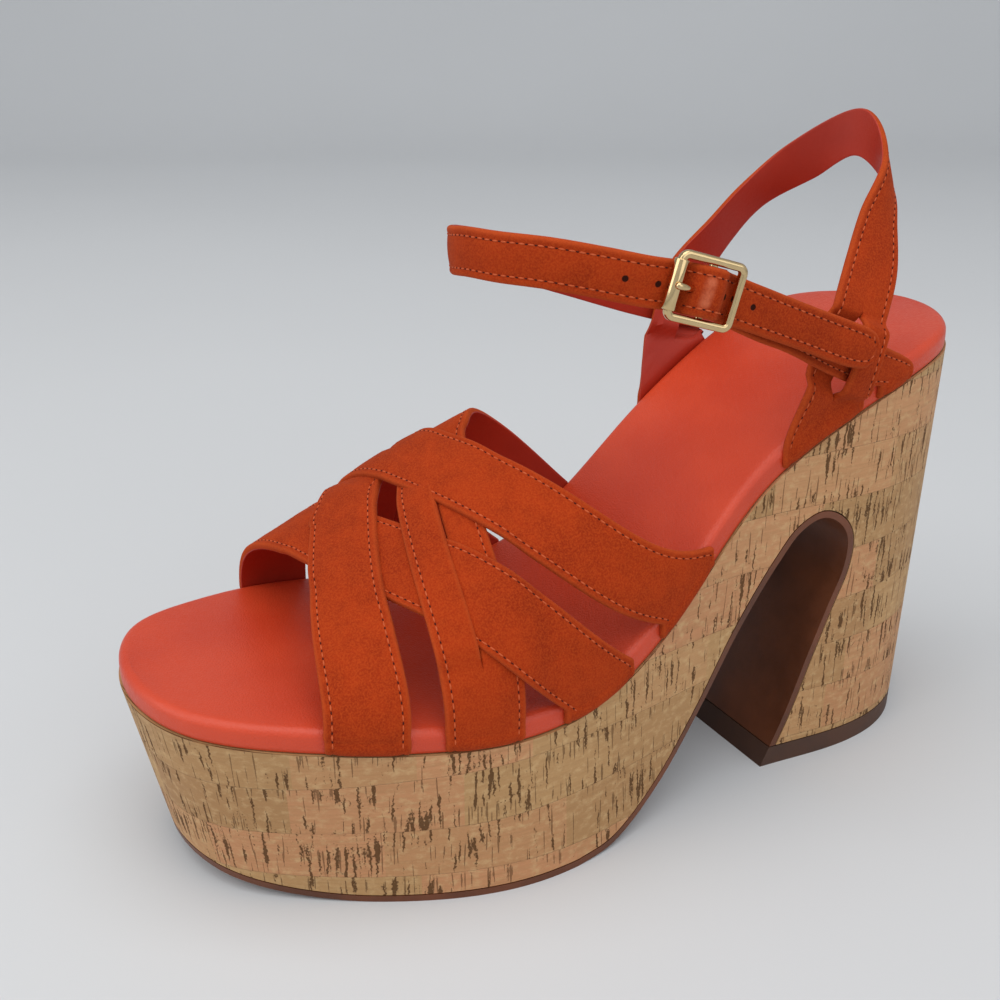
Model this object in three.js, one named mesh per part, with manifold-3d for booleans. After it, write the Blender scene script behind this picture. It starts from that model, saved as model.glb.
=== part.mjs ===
// Platform sandal for the left foot, standing on its sole.
// Millimetres, +Z up, toe towards -Y, outer side of the foot towards +X.
// Every piece is worked out from the sizes below and from short tables of shares of them.
import * as THREE from 'three';
import { mergeVertices } from 'three/addons/utils/BufferGeometryUtils.js';
import Module from 'manifold-3d';

const wasm = await Module();
wasm.setup();

// Sizes of the last and the sole
const footLength = 220;
const ballWidth = 83;
const platformHeight = 44.5;
const heelHeight = 112;
const toeSpring = 9.5;
const toeUndercut = 8.5;
const archHeight = 71;
const insoleThickness = 5.5;
const insoleSetback = 1;
const insoleEdgeRound = 2.2;
const outsoleThickness = 1.7;
const topPieceThickness = 5.5;

// Sizes of the straps
const instepHeight = 56;
const strapWidth = 18;
const strapThickness = 1.8;
const tuckLength = 6;
const ankleHalfWidth = 35;
const ankleStrapHeight = 140;
const ankleStrapWidth = 10.5;
const ankleStrapThickness = 1.6;
const backStrapHeight = 157;
const backStrapWidth = 12;

// Sizes of the buckle
const buckleLength = 16.6;
const buckleWire = 1.8;
const barDiameter = 1.8;
const barOffset = 1.5;
const rollerDiameter = 3;
const prongDiameter = 1.6;
const loopThickness = 1;

// Room between pieces that meet
const gap = 0.3;

// Outline of the insole and cork seen from above: along the foot from the toe,
// sideways as shares of the ball width.
const outlineRows = [
  { along: 0.0, lateral: -0.148, medial: -0.148 },
  { along: 0.031, lateral: 0.127, medial: -0.416 },
  { along: 0.105, lateral: 0.289, medial: -0.524 },
  { along: 0.209, lateral: 0.404, medial: -0.584 },
  { along: 0.345, lateral: 0.465, medial: -0.534 },
  { along: 0.491, lateral: 0.428, medial: -0.367 },
  { along: 0.627, lateral: 0.386, medial: -0.271 },
  { along: 0.784, lateral: 0.408, medial: -0.32 },
  { along: 0.92, lateral: 0.32, medial: -0.29 },
  { along: 0.965, lateral: 0.212, medial: -0.205 },
  { along: 1.0, lateral: -0.025, medial: -0.025 },
];

// Top of the insole: share of the way from platform height to heel height.
const footbedRows = [
  { along: 0.0, rise: 0.104 },
  { along: 0.157, rise: 0.055 },
  { along: 0.314, rise: 0.0 },
  { along: 0.418, rise: 0.025 },
  { along: 0.523, rise: 0.23 },
  { along: 0.627, rise: 0.585 },
  { along: 0.732, rise: 0.812 },
  { along: 0.836, rise: 0.945 },
  { along: 0.941, rise: 0.995 },
  { along: 1.0, rise: 1.0 },
];

// How far the wall of the cork has come inwards at the floor, as a share of the toe undercut.
const undercutRows = [
  { along: 0.0, inward: 1.0 },
  { along: 0.125, inward: 0.7 },
  { along: 0.366, inward: -0.2 },
  { along: 0.627, inward: 0.25 },
  { along: 0.941, inward: 0.24 },
  { along: 1.0, inward: 0.38 },
];

// The arch from the end of the forefoot's flat to the foot of the heel,
// as shares of the foot length and the arch height.
const toeFlatStart = 0.199;
const archRows = [
  { along: 0.402, up: 0.0 },
  { along: 0.455, up: 0.024 },
  { along: 0.523, up: 0.16 },
  { along: 0.582, up: 0.378 },
  { along: 0.634, up: 0.645 },
  { along: 0.68, up: 0.865 },
  { along: 0.706, up: 0.965 },
  { along: 0.733, up: 1.0 },
  { along: 0.757, up: 0.97 },
  { along: 0.773, up: 0.9 },
  { along: 0.773, up: 0.79 },
  { along: 0.756, up: 0.635 },
  { along: 0.735, up: 0.435 },
  { along: 0.715, up: 0.228 },
  { along: 0.696, up: 0.07 },
  { along: 0.687, up: 0.0 },
];

// Height of the foot above the insole under the vamp straps, as a share of the instep height.
const instepRows = [
  { along: 0.052, height: 0.2 },
  { along: 0.157, height: 0.28 },
  { along: 0.261, height: 0.54 },
  { along: 0.366, height: 0.81 },
  { along: 0.47, height: 0.93 },
  { along: 0.575, height: 0.99 },
  { along: 0.68, height: 1.02 },
];
const crownShift = -0.166;
const crownRoundness = 2.17;

// Middle lines of the four vamp straps: across the foot from the medial edge (-1) to the
// lateral edge (1), with the place along the foot of each strap.
const vampRows = [
  { across: -1.0, frontOuter: 0.444, rearOuter: 0.535, frontInner: 0.214, rearInner: 0.303 },
  { across: -0.5, frontOuter: 0.347, rearOuter: 0.458, frontInner: 0.217, rearInner: 0.327 },
  { across: 0.0, frontOuter: 0.266, rearOuter: 0.361, frontInner: 0.231, rearInner: 0.342 },
  { across: 0.5, frontOuter: 0.21, rearOuter: 0.31, frontInner: 0.288, rearInner: 0.406 },
  { across: 1.0, frontOuter: 0.184, rearOuter: 0.296, frontInner: 0.427, rearInner: 0.544 },
];

// The ankle strap from the medial slit round the front of the ankle to its free end:
// sideways as a share of the ankle's half width, up as a share of the strap's height,
// width as a share of the strap's width, lean in degrees away from upright,
// and the number of steps to the next row.
const ankleRows = [
  { side: -0.808, along: 0.774, up: 0.78, width: 1, lean: 20, steps: 3 },
  { side: -0.843, along: 0.732, up: 0.792, width: 1, lean: 12, steps: 3 },
  { side: -0.85, along: 0.677, up: 0.818, width: 1, steps: 4 },
  { side: -0.81, along: 0.559, up: 0.885, width: 1, steps: 4 },
  { side: -0.68, along: 0.468, up: 0.937, width: 1, steps: 4 },
  { side: -0.4, along: 0.395, up: 0.971, width: 1, steps: 3 },
  { side: -0.086, along: 0.366, up: 0.986, width: 1, steps: 3 },
  { side: 0.17, along: 0.36, up: 0.996, width: 1, steps: 3 },
  { side: 0.43, along: 0.37, up: 0.998, width: 1, steps: 3 },
  { side: 0.7, along: 0.399, up: 0.996, width: 1, steps: 3 },
  { side: 0.845, along: 0.439, up: 0.983, width: 1, steps: 3 },
  { side: 0.925, along: 0.475, up: 0.969, width: 1, steps: 9 },
  { side: 0.985, along: 0.532, up: 0.949, width: 1, steps: 9 },
  { side: 1.035, along: 0.589, up: 0.914, width: 0.96, steps: 3 },
  { side: 1.08, along: 0.653, up: 0.873, width: 0.93, steps: 3 },
  { side: 1.125, along: 0.711, up: 0.836, width: 0.93, steps: 1 },
  { side: 1.135, along: 0.725, up: 0.828, width: 0.89, steps: 1 },
  { side: 1.142, along: 0.736, up: 0.821, width: 0.75, steps: 1 },
  { side: 1.145, along: 0.742, up: 0.818, width: 0.47, steps: 1 },
];
const buckleRow = 12;
const ankleTuck = { along: 0.812, width: 1.05, rise: 0 };

// The strap that holds the buckle, from the buckle back to the lateral edge of the heel seat.
const buckleStrapRows = [
  { side: 0.975, along: 0.617, up: 0.889, width: 1, steps: 2 },
  { side: 0.985, along: 0.657, up: 0.862, width: 1, steps: 4 },
  { side: 0.98, along: 0.721, up: 0.81, width: 1, steps: 4 },
  { side: 0.963, along: 0.774, up: 0.775, width: 1, lean: 2, steps: 3 },
];

// The back strap from one side of the waist round the heel to the other, with the same columns.
// Its ends are tucked under the insole, and start a rise (share of the insole) above its side.
const backRows = [
  { lateral: 0.985, medial: -0.855, along: 0.731, up: 0.707, width: 1.4, lean: 0, steps: 5 },
  { lateral: 0.928, medial: -0.848, along: 0.75, up: 0.763, width: 1.3, lean: 10, steps: 4 },
  { lateral: 0.765, medial: -0.79, along: 0.788, up: 0.83, width: 1.17, lean: 20, steps: 2 },
  { lateral: 0.614, medial: -0.67, along: 0.815, up: 0.886, width: 0.98, lean: 22, steps: 3 },
  { lateral: 0.4, medial: -0.42, along: 0.853, up: 0.948, width: 0.96, lean: 10, steps: 3 },
  { lateral: -0.02, medial: -0.02, along: 0.873, up: 1.0, width: 0.95, lean: 0, steps: 3 },
];
const backTucks = [
  { side: 1, along: 0.718, width: 1.8, rise: 0.6 },
  { side: -1, along: 0.71, width: 2.0, rise: 0.6 },
];
const slitShare = 0;

// Materials
const cork = new THREE.MeshStandardMaterial({ name: 'cork', color: 0xb89468, roughness: 0.85 });
const leather = new THREE.MeshStandardMaterial({ name: 'insole', color: 0xc9482e, roughness: 0.5 });
const suede = new THREE.MeshStandardMaterial({ name: 'suede', color: 0xb4461e, roughness: 0.95 });
const soleRubber = new THREE.MeshStandardMaterial({ name: 'sole', color: 0x3c2319, roughness: 0.6 });
const goldTone = { name: 'gold', color: 0xd9c39a, roughness: 0.2, metalness: 1 };
const gold = new THREE.MeshStandardMaterial(goldTone);

// A smooth curve through a table's rows (a natural cubic spline)
function smoothThrough(rows, from, to) {
  const x = rows.map(from);
  const y = rows.map(to);
  const count = x.length;
  const bend = new Array(count).fill(0);
  const slack = new Array(count).fill(0);
  for (let i = 1; i < count - 1; i += 1) {
    const part = (x[i] - x[i - 1]) / (x[i + 1] - x[i - 1]);
    const pull = part * bend[i - 1] + 2;
    bend[i] = (part - 1) / pull;
    const slopeAfter = (y[i + 1] - y[i]) / (x[i + 1] - x[i]);
    const turn = slopeAfter - (y[i] - y[i - 1]) / (x[i] - x[i - 1]);
    slack[i] = ((6 * turn) / (x[i + 1] - x[i - 1]) - part * slack[i - 1]) / pull;
  }
  for (let i = count - 2; i >= 0; i -= 1) bend[i] = bend[i] * bend[i + 1] + slack[i];
  return (place) => {
    let i = 0;
    while (i < count - 2 && place > x[i + 1]) i += 1;
    const step = x[i + 1] - x[i];
    const a = (x[i + 1] - place) / step;
    const b = (place - x[i]) / step;
    const sag = ((a ** 3 - a) * bend[i] + (b ** 3 - b) * bend[i + 1]) * (step * step) / 6;
    return a * y[i] + b * y[i + 1] + sag;
  };
}

const clamp = (value, low, high) => Math.min(high, Math.max(low, value));
const mix = (a, b, share) => a + (b - a) * share;
const smoothStep = (low, high, value) => {
  const share = clamp((value - low) / (high - low), 0, 1);
  return share * share * (3 - 2 * share);
};
const byAlong = (row) => row.along;
const yAt = (share) => (share - 0.5) * footLength;
const shareAt = (y) => clamp(y / footLength + 0.5, 0, 1);
const angleAt = (share) => Math.acos(1 - 2 * clamp(share, 0, 1));

// The last's outline, its footbed and its walls
const byAngle = (row) => angleAt(row.along);
const lateralEdge = smoothThrough(outlineRows, byAngle, (row) => row.lateral * ballWidth);
const medialEdge = smoothThrough(outlineRows, byAngle, (row) => row.medial * ballWidth);
const rise = smoothThrough(footbedRows, byAlong, (row) => row.rise);
const undercut = smoothThrough(undercutRows, byAlong, (row) => row.inward * toeUndercut);
const instep = smoothThrough(instepRows, byAlong, (row) => row.height * instepHeight);

function footbed(y) {
  return mix(platformHeight, heelHeight, rise(shareAt(y)));
}

function steepness(y) {
  const step = 1;
  return Math.hypot(1, (footbed(y + step) - footbed(y - step)) / (2 * step));
}

function underside(y) {
  return footbed(y) - insoleThickness * steepness(y);
}

// A point of the outline at an angle from the toe (0) to the heel (pi), moved inwards
function outlinePoint(side, angle, inward) {
  const edge = side > 0 ? lateralEdge : medialEdge;
  const step = 0.001;
  const dx = (edge(angle + step) - edge(angle - step)) / (2 * step);
  const dy = (footLength / 2) * Math.sin(angle);
  const length = Math.hypot(dx, dy);
  const outX = (side * dy) / length;
  const outY = (-side * dx) / length;
  const y = (-footLength / 2) * Math.cos(angle);
  return { x: edge(angle) - outX * inward, y: y - outY * inward, outX, outY };
}

// Solids
function toSolid(points, triangles) {
  const flat = new Float32Array(points.flatMap((point) => [point.x, point.y, point.z]));
  const mesh = new wasm.Mesh({ numProp: 3, vertProperties: flat, triVerts: new Uint32Array(triangles) });
  return new wasm.Manifold(mesh);
}

function solidOf(geometry) {
  const bare = geometry.clone();
  bare.deleteAttribute('normal');
  bare.deleteAttribute('uv');
  const merged = mergeVertices(bare, 1e-4);
  const mesh = new wasm.Mesh({
    numProp: 3,
    vertProperties: new Float32Array(merged.attributes.position.array),
    triVerts: new Uint32Array(merged.index.array),
  });
  return new wasm.Manifold(mesh);
}

function volumeOf(points, triangles) {
  let total = 0;
  for (let i = 0; i < triangles.length; i += 3) {
    const [a, b, c] = [points[triangles[i]], points[triangles[i + 1]], points[triangles[i + 2]]];
    total += a.dot(b.clone().cross(c));
  }
  return total / 6;
}

function closedSolid(points, triangles) {
  const outward = volumeOf(points, triangles) > 0;
  const order = [0, 1, -1];
  return toSolid(points, outward ? triangles : triangles.map((_, i) => triangles[i + order[i % 3]]));
}

// Rings round the outline, from the lowest to the highest, joined by walls and closed by flat
// strips from side to side
function ringSolid(rings) {
  const count = rings[0].length;
  const points = rings.flat();
  const triangles = [];
  for (let level = 0; level < rings.length - 1; level += 1) {
    for (let i = 0; i < count; i += 1) {
      const next = (i + 1) % count;
      const [a, b] = [level * count + i, level * count + next];
      triangles.push(a, b, b + count, a, b + count, a + count);
    }
  }
  const top = (rings.length - 1) * count;
  for (let i = 0; i < count / 2; i += 1) {
    const [near, nearNext] = [i, i + 1];
    const [far, farNext] = [(count - i) % count, count - i - 1];
    if (near !== far) {
      triangles.push(top + near, top + nearNext, top + far);
      triangles.push(near, far, nearNext);
    }
    if (nearNext !== farNext) {
      triangles.push(top + far, top + nearNext, top + farNext);
      triangles.push(far, farNext, nearNext);
    }
  }
  return toSolid(points, triangles);
}

const outlineSteps = 48;

function ring(inwardAt, heightAt) {
  const points = [];
  for (let i = 0; i < 2 * outlineSteps; i += 1) {
    const side = i <= outlineSteps ? 1 : -1;
    const angle = (Math.PI * (side > 0 ? i : 2 * outlineSteps - i)) / outlineSteps;
    const bare = outlinePoint(side, angle, 0);
    const place = outlinePoint(side, angle, inwardAt(bare.y));
    points.push(new THREE.Vector3(place.x, place.y, heightAt(place.y)));
  }
  return points;
}

// A profile in the plane of the foot's length and height, extruded across the foot
function acrossFoot(profile) {
  const width = 2 * ballWidth;
  const geometry = new THREE.ExtrudeGeometry(new THREE.Shape(profile), { depth: width, bevelEnabled: false });
  const turn = new THREE.Matrix4().set(0, 0, 1, -width / 2, 1, 0, 0, 0, 0, 1, 0, 0, 0, 0, 0, 1);
  return solidOf(geometry.applyMatrix4(turn));
}

// The lower face of the sole from the toe to the foot of the heel
function solePath() {
  const path = [];
  const toeSteps = 8;
  const beyond = -0.04;
  for (let i = 0; i < toeSteps; i += 1) {
    const along = mix(beyond, toeFlatStart, i / toeSteps);
    path.push(new THREE.Vector2(yAt(along), toeSpring * (1 - along / toeFlatStart) ** 2));
  }
  path.push(new THREE.Vector2(yAt(toeFlatStart), 0));
  const knots = archRows.map((row) => new THREE.Vector3(0, yAt(row.along), row.up * archHeight));
  const arch = new THREE.CatmullRomCurve3(knots, false, 'centripetal');
  arch.getPoints(3 * (knots.length - 1)).forEach((point) => path.push(new THREE.Vector2(point.y, point.z)));
  return path;
}

// Everything under the sole's lower face, grown by a distance into the shoe
function underSole(growth) {
  const path = solePath();
  const moved = path.map((point, i) => {
    const before = path[Math.max(0, i - 1)];
    const after = path[Math.min(path.length - 1, i + 1)];
    const along = after.clone().sub(before).normalize();
    return new THREE.Vector2(point.x - along.y * growth, point.y + along.x * growth);
  });
  const floor = -2 * topPieceThickness;
  const last = moved[moved.length - 1];
  const slant = last.clone().sub(moved[moved.length - 4]).normalize();
  const foot = last.clone().addScaledVector(slant, (floor - last.y) / slant.y);
  return acrossFoot([...moved, foot, new THREE.Vector2(moved[0].x, floor)]);
}

function cornerBox(low, high) {
  const size = new THREE.Vector3().subVectors(high, low);
  const geometry = new THREE.BoxGeometry(size.x, size.y, size.z);
  geometry.translate((low.x + high.x) / 2, (low.y + high.y) / 2, (low.z + high.z) / 2);
  return solidOf(geometry);
}

// The whole sole below the insole, before it is cut into its pieces
function soleBlock() {
  const cut = -1;
  const wall = (y, z) => undercut(shareAt(y)) * (1 - z / underside(y));
  const topAt = (y) => underside(y) - gap;
  const bottom = ring((y) => wall(y, cut), () => cut);
  const top = ring(() => 0, topAt);
  return ringSolid([bottom, top]);
}

function heelZone(bottom, top) {
  const front = yAt(0.63);
  const low = new THREE.Vector3(-ballWidth, front, bottom);
  return cornerBox(low, new THREE.Vector3(ballWidth, footLength, top));
}

function makeSole() {
  const block = soleBlock();
  const air = underSole(0);
  const aboveTopPiece = heelZone(-2 * topPieceThickness, topPieceThickness + gap);
  return {
    outsole: block.subtract(air).intersect(underSole(outsoleThickness)).subtract(aboveTopPiece),
    heelTopPiece: block.intersect(heelZone(0, topPieceThickness)).subtract(air),
    corkUnit: block.subtract(underSole(outsoleThickness + gap)).subtract(aboveTopPiece),
  };
}

// The insole board with its rounded edge
function insoleBlank() {
  const edge = insoleSetback;
  const corner = insoleEdgeRound;
  const lift = (share) => (y) => mix(underside(y), footbed(y), share);
  const nearTop = (drop) => (y) => footbed(y) - drop;
  return ringSolid([
    ring(() => edge, lift(0)),
    ring(() => edge, nearTop(corner)),
    ring(() => edge + corner * 0.3, nearTop(corner * 0.3)),
    ring(() => edge + corner, nearTop(0)),
  ]);
}

// Straps. A strap is a grid of points on its inner face: rows along it, columns across it.
// Each end is tucked round the insole's edge and under it.
const sideGap = gap + 0.1;

function tuckPoints(side, along) {
  const angle = angleAt(along);
  const rows = [
    { inward: tuckLength, up: 0, lift: 1.1 },
    { inward: tuckLength / 3, up: 0, lift: 1.1 },
    { inward: 0, up: 0, lift: 1.1 },
    { inward: 0, up: 0.75, lift: 0 },
  ];
  return rows.map((row) => {
    const place = outlinePoint(side, angle, insoleSetback - sideGap + row.inward);
    const low = underside(place.y);
    const height = mix(low, footbed(place.y), row.up) + row.lift * strapThickness * steepness(place.y);
    return new THREE.Vector3(place.x, place.y, height);
  });
}

function gridNormals(grid) {
  const last = grid.length - 1;
  const edge = grid[0].length - 1;
  return grid.map((row, j) => row.map((point, k) => {
    const alongStep = grid[Math.min(last, j + 1)][k].clone().sub(grid[Math.max(0, j - 1)][k]);
    const acrossStep = row[Math.min(edge, k + 1)].clone().sub(row[Math.max(0, k - 1)]);
    return alongStep.cross(acrossStep).normalize();
  }));
}

// A closed strap on a grid of inner points. Each part covers some columns and is lifted off
// the grid by its own amount. Where two parts lie apart, their shared column is a slit.
function strapSolid(grid, parts, low, high) {
  const normals = gridNormals(grid);
  const points = [];
  const known = new Map();
  const pointAt = (part, j, k, level) => {
    const lifted = part.lift(grid[j][k], j, k) + (level === 0 ? low : high);
    const point = grid[j][k].clone().addScaledVector(normals[j][k], lifted);
    const key = point.toArray().map((value) => value.toFixed(4)).join();
    if (!known.has(key)) {
      known.set(key, points.length);
      points.push(point);
    }
    return known.get(key);
  };
  const triangles = [];
  const quad = (corners) => {
    const [a, b, c, d] = corners;
    triangles.push(a, b, c, a, c, d);
  };
  const last = grid.length - 1;
  const edgeWall = (part, j, k, turned) => {
    const corners = [[j, 0], [j, 1], [j + 1, 1], [j + 1, 0]].map(([row, level]) => (
      pointAt(part, row, k, level)));
    const twin = parts.find((other) => other !== part && k >= other.from && k <= other.to);
    const joined = twin && [j, j + 1].every((row) => pointAt(twin, row, k, 0) === pointAt(part, row, k, 0));
    if (!joined) quad(turned ? corners.reverse() : corners);
  };
  parts.forEach((part) => {
    for (let k = part.from; k < part.to; k += 1) {
      for (let j = 0; j < last; j += 1) {
        const round = (level) => [[j, k], [j, k + 1], [j + 1, k + 1], [j + 1, k]].map(([row, column]) => (
          pointAt(part, row, column, level)));
        quad(round(1));
        quad(round(0).reverse());
      }
      const end = (j) => [[k, 0], [k + 1, 0], [k + 1, 1], [k, 1]].map(([column, level]) => (
        pointAt(part, j, column, level)));
      quad(end(0));
      quad(end(last).reverse());
    }
    for (let j = 0; j < last; j += 1) {
      edgeWall(part, j, part.from, false);
      edgeWall(part, j, part.to, true);
    }
  });
  return closedSolid(points, triangles);
}

const flatStrap = (grid, thickness) => (
  strapSolid(grid, [{ from: 0, to: grid[0].length - 1, lift: () => 0 }], 0, thickness));

// The pocket in the insole that a tucked end lies in
function tuckPocket(side, along, width, thickness) {
  const columns = 4;
  const half = width / 2 + 2 * gap;
  const grid = [];
  for (let k = 0; k <= columns; k += 1) {
    const place = along + mix(-half, half, k / columns) / footLength;
    const [inner, middle, outer] = tuckPoints(side, place);
    const outwards = outer.clone().sub(inner).normalize();
    inner.addScaledVector(outwards, -2 * gap);
    grid.push([inner, middle, outer.addScaledVector(outwards, 2 * thickness)]);
  }
  const turned = side < 0 ? grid : grid.reverse();
  const rows = [0, 1, 2].map((j) => turned.map((column) => column[j]));
  return strapSolid(rows, [{ from: 0, to: columns, lift: () => 0 }], -gap, thickness + 2 * gap);
}

// The vamp: the foot's surface over the insole
const roundSteps = 24;

function footSection(along) {
  const angle = angleAt(along);
  const lateral = outlinePoint(1, angle, insoleSetback - sideGap).x;
  const medial = outlinePoint(-1, angle, insoleSetback - sideGap).x;
  const y = yAt(along);
  const base = mix(underside(y), footbed(y), 0.8);
  const crown = (lateral + medial) / 2 + crownShift * ballWidth;
  const power = 2 / crownRoundness;
  const points = [];
  for (let i = -roundSteps; i <= roundSteps; i += 1) {
    const turn = (Math.PI / 2) * (Math.abs(i) / roundSteps);
    const edge = i < 0 ? medial : lateral;
    const x = crown + (edge - crown) * Math.sin(turn) ** power;
    const z = base + instep(along) * Math.cos(turn) ** power;
    points.push({ x, z, reach: 0 });
  }
  for (let i = 1; i <= roundSteps; i += 1) {
    const [a, b] = [points[roundSteps + i - 1], points[roundSteps + i]];
    b.reach = a.reach + Math.hypot(b.x - a.x, b.z - a.z);
    const [c, d] = [points[roundSteps - i + 1], points[roundSteps - i]];
    d.reach = c.reach - Math.hypot(d.x - c.x, d.z - c.z);
  }
  return points;
}

// The foot's surface at a share across (medial -1, crown 0, lateral 1) and a share along
function footPoint(across, along) {
  const points = footSection(along);
  const end = across < 0 ? -points[0].reach : points[points.length - 1].reach;
  const reach = across * end;
  let i = 0;
  while (i < points.length - 2 && points[i + 1].reach < reach) i += 1;
  const [a, b] = [points[i], points[i + 1]];
  const share = (reach - a.reach) / (b.reach - a.reach);
  return new THREE.Vector3(mix(a.x, b.x, share), yAt(along), mix(a.z, b.z, share));
}

const strapNames = ['frontOuter', 'rearOuter', 'frontInner', 'rearInner'];
const vampPaths = Object.fromEntries(strapNames.map((name) => (
  [name, smoothThrough(vampRows, (row) => row.across, (row) => row[name])])));

// Half a strap's extent along the foot, so that its true width stays the same on a slant
function halfExtent(name, across) {
  const step = 0.02;
  const path = vampPaths[name];
  const here = footPoint(across, path(across));
  const ahead = footPoint(across + step, path(across + step));
  const slant = ahead.sub(footPoint(across - step, path(across - step)));
  const forward = footPoint(across, path(across) + step).sub(here).divideScalar(step);
  const sine = forward.clone().cross(slant).length() / (forward.length() * slant.length());
  return strapWidth / 2 / (forward.length() * sine);
}

// How the straps are woven: one lies over another, or is threaded through a slit in it
const overlays = [
  { upper: 'frontOuter', lower: 'frontInner' },
  { upper: 'rearInner', lower: 'rearOuter' },
];
const threads = [
  { strap: 'frontInner', slitIn: 'rearOuter' },
  { strap: 'frontOuter', slitIn: 'rearInner' },
];
const layerRamp = 6;
const layerMargin = 1;
const layerHeight = strapThickness - 0.4;

// 1 where the distance is within the half width, easing to 0 outside it
function covering(distance, half) {
  return 1 - smoothStep(half + layerMargin, half + layerMargin + layerRamp, Math.abs(distance));
}

function layerAt(name, part, across, along) {
  const half = strapWidth / 2;
  const offset = (other) => (along - vampPaths[other](across)) * footLength;
  let level = 0;
  overlays.filter((pair) => pair.upper === name).forEach((pair) => {
    level = Math.max(level, covering(offset(pair.lower), half));
  });
  threads.filter((pair) => pair.strap === name).forEach((pair) => {
    const out = smoothStep(-layerRamp / 2, layerRamp / 2, offset(pair.slitIn));
    level = Math.max(level, Math.min(out, covering(offset(pair.slitIn), half)));
  });
  threads.filter((pair) => pair.slitIn === name && part === 'front').forEach((pair) => {
    const apart = (vampPaths[pair.strap](across) - vampPaths[name](across)) * footLength;
    level = Math.max(level, covering(apart + half / 2, half * 1.5));
  });
  return level * layerHeight;
}

function vampStrap(name) {
  const slit = threads.some((pair) => pair.slitIn === name);
  const columns = slit ? 4 : 3;
  const path = vampPaths[name];
  const lastRow = 28;
  const alongAt = (across) => {
    const extent = halfExtent(name, across);
    return (column) => path(across) + 2 * extent * (column / columns - 0.5);
  };
  const tucked = (side) => {
    const found = Array.from({ length: columns + 1 }, (_, k) => tuckPoints(side, alongAt(side)(k)));
    return found[0].map((_, j) => found.map((column) => column[j]));
  };
  const grid = tucked(-1);
  const acrossRows = grid.map(() => -1);
  for (let j = 1; j < lastRow; j += 1) {
    const across = mix(-1, 1, j / lastRow) * 0.65 - Math.cos((Math.PI * j) / lastRow) * 0.35;
    const place = alongAt(across);
    grid.push(Array.from({ length: columns + 1 }, (_, k) => footPoint(across, place(k))));
    acrossRows.push(across);
  }
  grid.push(...tucked(1).reverse());
  const lift = (part) => (point, j) => {
    const across = acrossRows[j] ?? 1;
    return Math.abs(across) === 1 ? 0 : layerAt(name, part, across, shareAt(point.y));
  };
  const half = columns / 2;
  const parts = slit
    ? [{ from: 0, to: half, lift: lift('front') }, { from: half, to: columns, lift: lift('rear') }]
    : [{ from: 0, to: columns, lift: lift('whole') }];
  return strapSolid(grid, parts, 0, strapThickness);
}

function makeVamp() {
  return strapNames.map(vampStrap).reduce((whole, strap) => whole.add(strap));
}

function vampPockets() {
  return strapNames.flatMap((name) => [-1, 1].map((side) => (
    tuckPocket(side, vampPaths[name](side), 2 * halfExtent(name, side) * footLength, strapThickness))));
}

// Straps round the ankle: rows of points with a width, facing away from the ankle's spine
const spineFront = 0.523;
const spineRear = 0.795;

function bandRows(centres, sizes) {
  const route = new THREE.CatmullRomCurve3(centres, false, 'centripetal');
  return centres.map((centre, i) => {
    const tangent = route.getTangent(i / (centres.length - 1));
    const spineY = clamp(centre.y, yAt(spineFront), yAt(spineRear));
    const outward = new THREE.Vector3(centre.x, centre.y - spineY, 0);
    outward.addScaledVector(tangent, -outward.dot(tangent)).normalize();
    const turn = THREE.MathUtils.degToRad(sizes[i].lean ?? 0);
    const up = outward.clone().cross(tangent).multiplyScalar(Math.cos(turn));
    up.addScaledVector(outward, Math.sin(turn));
    return { centre, tangent, outward, up, width: sizes[i].width };
  });
}

// Columns of points through a band's rows and its tucked ends, sampled by each row's steps
function bandGrid(rows, steps, shares, startTuck, endTuck) {
  const columnPoints = shares.map((share) => {
    const tuckColumn = (tuck) => {
      const points = tuckPoints(tuck.side, tuck.along + (share * tuck.width) / footLength);
      const top = points[points.length - 1];
      const higher = new THREE.Vector3(top.x, top.y, top.z + tuck.rise * insoleThickness);
      return tuck.rise > 0 ? [...points, higher] : points;
    };
    const body = rows.map((row) => row.centre.clone().addScaledVector(row.up, share * row.width));
    const points = [
      ...(startTuck ? tuckColumn(startTuck) : []),
      ...body,
      ...(endTuck ? tuckColumn(endTuck).reverse() : []),
    ];
    return new THREE.CatmullRomCurve3(points, false, 'centripetal');
  });
  const startCounts = startTuck ? [1, 1, 1, ...(startTuck.rise > 0 ? [1, 3] : [3])] : [];
  const endCounts = endTuck ? [...(endTuck.rise > 0 ? [1] : []), 1, 1, 1] : [];
  const counts = [...startCounts, ...steps, ...endCounts];
  const segments = columnPoints[0].points.length - 1;
  const grid = [];
  for (let segment = 0; segment < segments; segment += 1) {
    for (let i = 0; i < counts[segment]; i += 1) {
      const place = (segment + i / counts[segment]) / segments;
      grid.push(columnPoints.map((curve) => curve.getPoint(place)));
    }
  }
  grid.push(columnPoints.map((curve) => curve.getPoint(1)));
  return grid;
}

const ankleSize = (row) => ({ ...row, width: row.width * ankleStrapWidth });
const anklePoint = (row) => (
  new THREE.Vector3(row.side * ankleHalfWidth, yAt(row.along), row.up * ankleStrapHeight));

function ankleBand() {
  return bandRows(ankleRows.map(anklePoint), ankleRows.map(ankleSize));
}

// The buckle's own axes: along the strap, across it and out of it, from the bar's middle.
// The frame's middle is higher than the bar's middle, and the strap's inner face lower.
const frameHeight = 2.2;
const strapDrop = rollerDiameter / 2 + ankleStrapThickness + gap;

function buckleAxes() {
  const row = ankleBand()[buckleRow];
  const barHeight = strapDrop - frameHeight;
  const origin = row.centre.clone().addScaledVector(row.outward, barHeight);
  const axes = new THREE.Matrix4().makeBasis(row.tangent, row.up, row.outward);
  return axes.setPosition(origin);
}

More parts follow.
